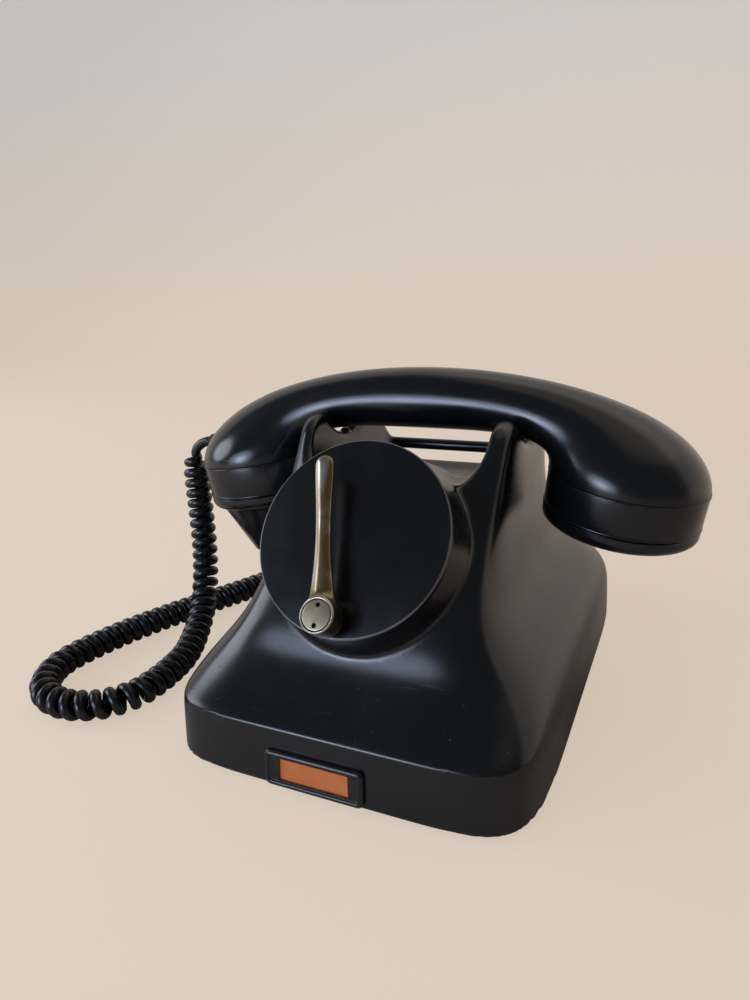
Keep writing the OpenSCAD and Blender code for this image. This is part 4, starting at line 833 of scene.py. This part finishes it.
turn = 2 * np.pi * np.arange(HANDSET_SIDES) / HANDSET_SIDES
half_rings = []
for u in np.linspace(0, 1, HANDSET_STATIONS + 1):
    a = math.pi / 4 * (1 - math.cos(math.pi * u))
    s, c = max(math.sin(a), 0.0), max(math.cos(a), 0.0)
    end_x, end_z = CAP_X + CAP_R * math.cos(CAP_LEAN), CAP_Z - CAP_R * math.sin(CAP_LEAN)
    outer = np.array([end_x * s, end_z + (HANDLE_TOP - end_z) * c])
    inner = np.array([NECK_X * s ** (2 / NECK_POWER), NECK_Z + (HANDLE_UNDER - NECK_Z) * c ** (2 / NECK_POWER)])
    across = np.outer(np.cos(turn), (outer - inner) / 2) + (outer + inner) / 2
    half = HANDLE_HALF + (CAP_R - HANDLE_HALF) * s**4
    half_rings.append(np.column_stack([across[:, 0], HANDSET_Y - half * np.sin(turn), across[:, 1]]))
# The last ring draws in a little, so that a fine groove shows at the seam.
seam = np.array(cap_frame(1))[:3]
round_cap = np.column_stack([np.cos(turn), -np.sin(turn)])
half_rings[-1] = half_rings[-1] + seam[:, 2] * SEAM_CUT
inside = [(CAP_R - SEAM_CUT, 0.0), *CHAMBER]
for r, h in inside:
    half_rings.append(np.column_stack([round_cap * r, np.full(len(turn), h), np.ones(len(turn))]) @ seam.T)
mirrored = [ring * (-1, 1, 1) for ring in half_rings[:0:-1]]
handset_grip = stacked("handset_grip", mirrored + half_rings, Matrix.Identity(4))
handset_grip.data.materials.append(bakelite)
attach(handset_grip, "handset")
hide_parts("handset_shell")


# Cap rings: turned resin rings that screw on below the seam, with a bead round each edge to grip.
RING_H, RING_LOW_R, RING_BORE, LEDGE_R, LEDGE_T, BEAD_OUT, BEAD_H = 15.4, 31.9, 28.4, 25.4, 1.5, 0.3, 0.9
COVER_H, COVER_EDGE, COVER_FLAT, COVER_WALL = 9.0, 2.5, 16.0, 3.0


def bead(r, top, tall):
    """Points down a half-round bead on a turned profile."""
    swing = np.linspace(0, math.pi, 7)
    return [(r + BEAD_OUT * math.sin(a), top - tall * (1 - math.cos(a)) / 2) for a in swing]


ring_profile = [
    (RING_BORE, -0.02), (CAP_R - 0.3, -0.02), *bead(CAP_R - 0.1, -0.12, BEAD_H), (CAP_R - 0.05, -BEAD_H - 0.6),
    (RING_LOW_R, 1.4 - RING_H), *bead(RING_LOW_R - 0.05, 1.25 - RING_H, BEAD_H), (RING_LOW_R - 0.4, -RING_H),
    (LEDGE_R, -RING_H), (LEDGE_R, LEDGE_T - RING_H), (RING_BORE, LEDGE_T - RING_H),
]
for name, side in (("ear_ring", 1), ("mouth_ring", -1)):
    cap_ring = turned(name + "_turned", ring_profile, cap_frame(side), closed=True)
    cap_ring.data.materials.append(bakelite)
    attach(cap_ring, "handset")
    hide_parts(name)


# Cap covers: shallow moulded domes with a rose of seven sound holes, screwed on under the rings.
HOLE_R, HOLE_RING = 1.6, 9.0
low_points = [
    [
        (COVER_FLAT + (RING_LOW_R - inset - COVER_FLAT) * math.sin(a),
         -COVER_EDGE - (COVER_H - inset - COVER_EDGE) * math.cos(a))
        for a in np.linspace(0, math.pi / 2, 13)
    ]
    for inset in (0, COVER_WALL)
]
cover_profile = [
    (0, -COVER_H), *low_points[0], (RING_LOW_R, -0.5), (RING_LOW_R - 0.5, 0), (RING_LOW_R - COVER_WALL, 0),
    *low_points[1][::-1], (0, COVER_WALL - COVER_H),
]
for name, side in (("ear_cover", 1), ("mouth_cover", -1)):
    cover = turned(name + "_pierced", cover_profile, Matrix.Translation((0, 0, COVER_H)))
    grown(
        cover, drilled, Holes=6, Middle_holes=1, Hole_radius=HOLE_R * MM, Ring_radius=HOLE_RING * MM, Depth=12 * MM,
        Finish=bakelite)
    placed(cover, cap_frame(side) @ Matrix.Translation((0, 0, -RING_H - 0.04 - COVER_H)))
    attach(cover, "handset")
    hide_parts(name)


# Mouthpiece horn: a plain moulded cone under the left cover that gathers the voice.
HORN_LEN, HORN_R, HORN_WALL = 25.0, 16.5, 2.6
cover_top = -RING_H - 0.04
top_out = (low_points[0][6][0], cover_top + low_points[0][6][1] - 0.1)
top_in = (low_points[0][4][0], cover_top + low_points[0][4][1] - 0.1)
horn_low = top_out[1] - HORN_LEN
horn_profile = rounded([
    (*top_out, 0), (HORN_R, horn_low, 1.1), (HORN_R - HORN_WALL, horn_low, 1.1), (*top_in, 0),
])
horn = turned("horn", horn_profile, cap_frame(-1), closed=True)
horn.data.materials.append(bakelite)
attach(horn, "handset")
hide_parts("mouthpiece_horn")


# Cord bush: a soft moulded sleeve that keeps the lead from chafing where it leaves the handset.
BUSH_R, BUSH_LEN = 4.0, 11.0
BORE = WIRE_D / 2 + 0.3
bush_profile = rounded([(BORE, 0, 0.4), (BUSH_R, 0, 1.0), (BUSH_R, BUSH_LEN, 0.3), (BORE, BUSH_LEN, 0.3)])
cord_bush = turned("cord_bush", bush_profile, Matrix.Translation(EXIT) @ Matrix.Rotation(math.pi / 2, 4, "Y"),
                   steps=48, closed=True)
# Moulded rubber, matt and a little grey with age.
rubber, *_ = mottled("moulded_black_rubber", 3, ("#0c0d0e", "#23231f"), (0.5, 0.75), IOR=1.5)
cord_bush.data.materials.append(rubber)
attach(cord_bush, "handset")
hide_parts("handset_cord_bush")


# Cord grommets: flanged rubber rings pressed into the two inlets behind. The right one is empty and
# waits for a line cord.
FLANGE_R, FLANGE_T, SLEEVE_R, SLEEVE_LEN, LINE_BORE = 8.5, 1.8, 6.0, 8.0, 3.2
for name, side, bore in (("line_cord_grommet", 1, LINE_BORE), ("handset_cord_grommet", -1, BORE)):
    grommet_profile = rounded([
        (bore, FLANGE_T, 0.6), (FLANGE_R, FLANGE_T, 0.8), (FLANGE_R, 0.02, 0.3), (SLEEVE_R, 0.02, 0),
        (SLEEVE_R, -SLEEVE_LEN, 0.5), (bore, -SLEEVE_LEN, 0.5),
    ])
    inlet_frame = Matrix.Translation((-side * INLET[0], INLET[1], INLET[2])) @ Matrix.Rotation(-math.pi / 2, 4, "X")
    grommet = turned(name + "_moulded", grommet_profile, inlet_frame, steps=64, closed=True)
    grommet.data.materials.append(rubber)
    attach(grommet, "base")
    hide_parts(name)


# Floor: a plate of pressed steel, lacquered grey, screwed up into the housing. It carries the works.
sheet_steel, *_ = mottled(
    "lacquered_sheet_steel", 20, ("#6f7172", "#8c8e8d"), (0.3, 0.5), stretch=(1, 16, 1), Metallic=0.85)


def dress(material, slot, *names):
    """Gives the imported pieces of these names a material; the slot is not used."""
    for name in names:
        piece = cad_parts[name]
        piece.data.materials.clear()
        piece.data.materials.append(material)


dress(sheet_steel, "steel", "base_plate")


# Feet: four soft rubber pads with a rounded edge, stuck into the floor's corners.
PLATE_Z = float(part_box("base_plate")[0].z) / MM
FOOT_X, FOOT_Y, FOOT_R = 53.0, 78.0, 8.0


def repeated(name):
    """A geometry node tree that puts a copy of one mesh at every point it is given."""
    made, given = begin_tree(name, ("Copied", "Object"), ("Turn", "Float"))
    copied = add(made, "GeometryNodeObjectInfo", {"Object": given["Copied"]}).outputs["Geometry"]
    turns = add(made, "FunctionNodeRandomValue", {"Min": 0.0, "Max": given["Turn"], "Seed": 3}, data_type="FLOAT")
    spun = add(made, "ShaderNodeCombineXYZ", {"Z": turns})
    copies = add(made, "GeometryNodeInstanceOnPoints", {
        "Points": given["Geometry"], "Instance": copied,
        "Rotation": add(made, "FunctionNodeEulerToRotation", {"Euler": spun})})
    return end_tree(made, given, copies)


four_up = repeated("four_corners")
pad_profile = rounded([(0, 0, 0), (FOOT_R, 0, 1.2), (FOOT_R, PLATE_Z, 0), (0, PLATE_Z, 0)])
pad = turned("pad", pad_profile, Matrix.Identity(4), steps=48)
feet = new_piece("feet", [(sx * FOOT_X, sy * FOOT_Y, 0) for sx in (-1, 1) for sy in (-1, 1)], [])
grown(feet, four_up, Copied=pad, Finish=rubber)
bpy.data.objects.remove(pad)
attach(feet, "base")
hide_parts("rubber_feet")


# Floor screws: four cheese-headed steel screws with a sawn slot.
SCREW_X, SCREW_Y, SCREW_R, HEAD_T, SLOT_W, SLOT_D = 62.0, 88.0, 1.5, 1.8, 0.9, 0.8


def sawn_slot(name):
    """A geometry node tree that saws a slot across the top of a mesh, at height zero."""
    made, given = begin_tree(name, ("Slot size", "Vector"))
    saw = add(made, "GeometryNodeMeshCube", {"Size": given["Slot size"]})
    cut = add(made, "GeometryNodeMeshBoolean", {
        "Mesh 1": given["Geometry"], "Mesh 2": saw}, operation="DIFFERENCE", solver="EXACT")
    return end_tree(made, given, cut)


# Plated steel: turned or stamped, bright grey with a faint brushed grain and duller spots.
plated_steel, tree, shader, spot = finish_named("plated_steel", Metallic=1.0)
stain = add(tree, "ShaderNodeTexNoise", {"Vector": spot, "Scale": 1 / (5 * MM), "Detail": 5.0})
brush = add(tree, "ShaderNodeTexNoise", {
    "Vector": add(tree, "ShaderNodeMapping", {"Vector": spot, "Scale": (1, 1, 24)}),
    "Scale": 1 / (8 * MM), "Detail": 3.0})
tone = add(tree, "ShaderNodeMix", {
    "Factor": stain, "A": linear("#8d8f90"), "B": linear("#bdbfc0")}, data_type="RGBA")
gloss = add(tree, "ShaderNodeMapRange", {"Value": brush, "To Min": 0.2, "To Max": 0.42})
feed(tree, shader, {"Base Color": tone, "Roughness": gloss})

SHANK_LEN = float(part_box("base_screws")[1].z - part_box("base_screws")[0].z) / MM - HEAD_T
screw_profile = rounded([
    (0, 0, 0), (2 * SCREW_R, 0, 0.4), (2 * SCREW_R, HEAD_T, 0.15), (SCREW_R, HEAD_T, 0),
    (SCREW_R, HEAD_T + SHANK_LEN, 0.5), (0, HEAD_T + SHANK_LEN, 0),
])
screw = turned("screw", screw_profile, Matrix.Identity(4), steps=40)
slot_size = tuple(v * MM for v in (SLOT_W, 5 * SCREW_R, 2 * SLOT_D))
grown(screw, sawn_slot("screw_slot"), Slot_size=slot_size, Finish=plated_steel)
floor_screws = new_piece(
    "floor_screws",
    [(sx * SCREW_X, sy * SCREW_Y, PLATE_Z - HEAD_T) for sx in (-1, 1) for sy in (-1, 1)], [])
grown(floor_screws, four_up, Copied=screw, Turn=math.pi, Finish=plated_steel)
bpy.data.objects.remove(screw)
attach(floor_screws, "base")
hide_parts("base_screws")


# Generator: a hand magneto behind the disc. Steel plates carry a wound shuttle between pole shoes under
# three horseshoe magnets, and a large brass gear on the crank's shaft drives its pinion.
dress(
    plated_steel, "steel", "crank_shaft", "magneto_front_plate", "magneto_rear_plate", "pole_shoes", "armature_core",
    "armature_shaft",
)
# Machined brass: warm yellow, with the fine lines that a cutter leaves.
cut_brass, *_ = mottled("machined_brass", 6, ("#a9843f", "#d3b573"), (0.22, 0.38), Metallic=1.0)
dress(cut_brass, "machined_brass", "drive_gear", "bearing_bushes", "armature_pinion")
dress(aged_brass, "aged_brass", "crank_bush")
# Brushed enamel on the magnets: brick red, thin at the edges, satin.
red_enamel, *_ = mottled(
    "red_magnet_enamel", 9, ("#6a2019", "#8b3a2c"), (0.35, 0.55), stretch=(1, 5, 5), detail=4.0, Coat_Weight=0.3,
    Coat_Roughness=0.2)
dress(red_enamel, "magnet_red", "magnets")


# Bell: two plated gongs on posts, a pair of coils on a steel yoke, and a clapper that swings between them.
WIRE_STEP = 0.5
gong_plate, *_ = mottled(
    "spun_nickel_plate", 10, ("#a8a28d", "#cfcabb"), (0.16, 0.3), stretch=(1, 1, 30), detail=4.0, Metallic=1.0)
dress(gong_plate, "gong_metal", "gongs")
dress(
    plated_steel, "steel", "gong_posts", "gong_nuts", "ringer_cores", "ringer_yoke", "clapper_pin", "clapper_arm",
)
dress(cut_brass, "machined_brass", "clapper_ball")


def winding(name, axis):
    """Varnished copper wire wound in even turns along an axis."""
    made, tree, shader, spot = finish_named(name, Metallic=0.6, Coat_Weight=0.5, Coat_Roughness=0.25)
    turns = add(tree, "ShaderNodeTexWave", {
        "Vector": spot, "Scale": 2 * math.pi / (20 * WIRE_STEP * MM), "Distortion": 0.4, "Detail": 1.0},
        wave_type="BANDS", bands_direction=axis)
    tone = add(tree, "ShaderNodeMix", {
        "Factor": turns.outputs["Fac"], "A": linear("#5c2c16"), "B": linear("#b06a3c")}, data_type="RGBA")
    gloss = add(tree, "ShaderNodeMapRange", {"Value": turns.outputs["Fac"], "To Min": 0.5, "To Max": 0.3})
    relief = add(tree, "ShaderNodeBump", {
        "Height": turns.outputs["Fac"], "Strength": 0.5, "Distance": 0.3 * WIRE_STEP * MM})
    feed(tree, shader, {"Base Color": tone, "Roughness": gloss, "Normal": relief})
    return made


coil_wire = winding("varnished_copper_coil", "Y")
dress(coil_wire, "copper_winding", "ringer_coils", "induction_coil")
dress(winding("varnished_copper_shuttle", "X"), "copper_winding", "armature_winding")


# Speech circuit: a capacitor in a painted can and a terminal block of brown moulded resin on the floor.
can_paint, *_ = mottled("grey_green_can_paint", 2, ("#6f7368", "#858a7d"), (0.5, 0.7), Coat_Weight=0.1)
dress(can_paint, "capacitor_case", "capacitor")
# Brown laminate: paper-filled resin, satin, with a fibrous mottle.
laminate, *_ = mottled(
    "brown_paper_laminate", 1.5, ("#3c2415", "#5f3d26"), (0.35, 0.55), stretch=(1, 3, 3), IOR=1.55)
dress(laminate, "brown_insulation", "terminal_block", "spring_insulators")
dress(cut_brass, "machined_brass", "terminal_screws")


# Cradle switch: two resin plungers that the handset holds down. A yoke below them closes a pile of springs.
dress(bakelite, "bakelite", "plungers")
dress(cut_brass, "machined_brass", "contact_springs", "plunger_bushes")
dress(plated_steel, "steel", "switch_bracket", "hook_yoke")


# Capsules: sealed steel cans for hearing and speaking, held in the cap rings.
dress(plated_steel, "steel", "receiver_capsule", "transmitter_capsule")


# Photographer's table: a pale paper sweep under and behind the object. Broad cool lamps stand low in front and
# on the left like a window, with a weak warm one high behind.
FLOOR_FRONT, FLOOR_BACK, COVE_R, WALL_TOP, PAPER_HALF = -0.9, 0.9, 0.8, 4.0, 9.0
cove = [(FLOOR_BACK + COVE_R * math.sin(a), COVE_R * (1 - math.cos(a))) for a in np.linspace(0, math.pi / 2, 33)]
profile = [(FLOOR_FRONT, 0.0), *cove, (FLOOR_BACK + COVE_R, WALL_TOP)]
paper_verts = [(sx * PAPER_HALF / MM, y / MM, z / MM) for y, z in profile for sx in (-1, 1)]
paper_faces = [(2 * i, 2 * i + 1, 2 * i + 3, 2 * i + 2) for i in range(len(profile) - 1)]
paper_sweep = new_piece("paper_sweep", paper_verts, paper_faces)
# Matt paper. What looks at it straight sees a pale tone, warmer and lighter low down, with the object's shadow; in
# reflections only the paper behind the object shows that tone.
paper, tree, shader, spot = finish_named("matt_studio_paper", Roughness=0.9, Specular_IOR_Level=0.1)
height = add(tree, "ShaderNodeMapRange", {
    "Value": add(tree, "ShaderNodeSeparateXYZ", {"Vector": spot}).outputs["Z"], "From Min": 0.0, "From Max": 0.9})
tone = add(tree, "ShaderNodeMix", {
    "Factor": height, "A": linear("#fbead8"), "B": linear("#eae3de")}, data_type="RGBA")
feed(tree, shader, {"Base Color": tone})
rays = add(tree, "ShaderNodeLightPath")
behind = add(tree, "ShaderNodeMapRange", {
    "Value": add(tree, "ShaderNodeSeparateXYZ", {"Vector": spot}).outputs["Y"], "From Min": 0.0, "From Max": 0.5})
mirrored = add(tree, "ShaderNodeMath", {
    0: rays.outputs["Is Glossy Ray"], 1: behind}, operation="MULTIPLY")
seen = add(tree, "ShaderNodeMath", {
    0: rays.outputs["Is Camera Ray"], 1: rays.outputs["Is Transmission Ray"]}, operation="MAXIMUM")
seen = add(tree, "ShaderNodeMath", {0: seen, 1: mirrored}, operation="MAXIMUM")
share = add(tree, "ShaderNodeMath", {0: seen, 1: 0.62}, operation="MULTIPLY")
glow = add(tree, "ShaderNodeEmission", {"Color": tone, "Strength": 1.0})
mixed = add(tree, "ShaderNodeMixShader", {
    0: share, 1: shader, 2: glow})
feed(tree, tree.nodes["Material Output"], {"Surface": mixed})
paper_sweep.data.materials.append(paper)

LAMP_AIM = Vector((0, 0, 0.07))
lamps = [
    ("window_light", (-0.52, -1.2, 0.2), 0.95, 8.0, "#cfe0ff"),
    ("window_middle", (-0.5, -1.19, 0.2), 0.4, 2.6, "#d8e6ff"),
    ("left_light", (-1.25, -0.35, 0.5), 0.8, 6.0, "#e8efff"),
    ("ceiling_light", (0.6, 0.9, 2.2), 3.0, 7.0, "#fff3e4"),
]
for name, place, size, power, colour in lamps:
    lamp = bpy.data.lights.new(name, "AREA")
    lamp.shape, lamp.size, lamp.energy, lamp.color = "DISK", size, power, linear(colour)[:3]
    holder = bpy.data.objects.new(name, lamp)
    holder.location = place
    holder.rotation_euler = (LAMP_AIM - Vector(place)).to_track_quat("-Z", "Y").to_euler()
    bpy.context.scene.collection.objects.link(holder)
room = bpy.data.worlds.new("room")
room.use_nodes = True
background = room.node_tree.nodes["Background"]
background.inputs["Color"].default_value = linear("#b9bcc2")
background.inputs["Strength"].default_value = 0.2
bpy.context.scene.world = room
bpy.context.scene.view_settings.view_transform = "Standard"
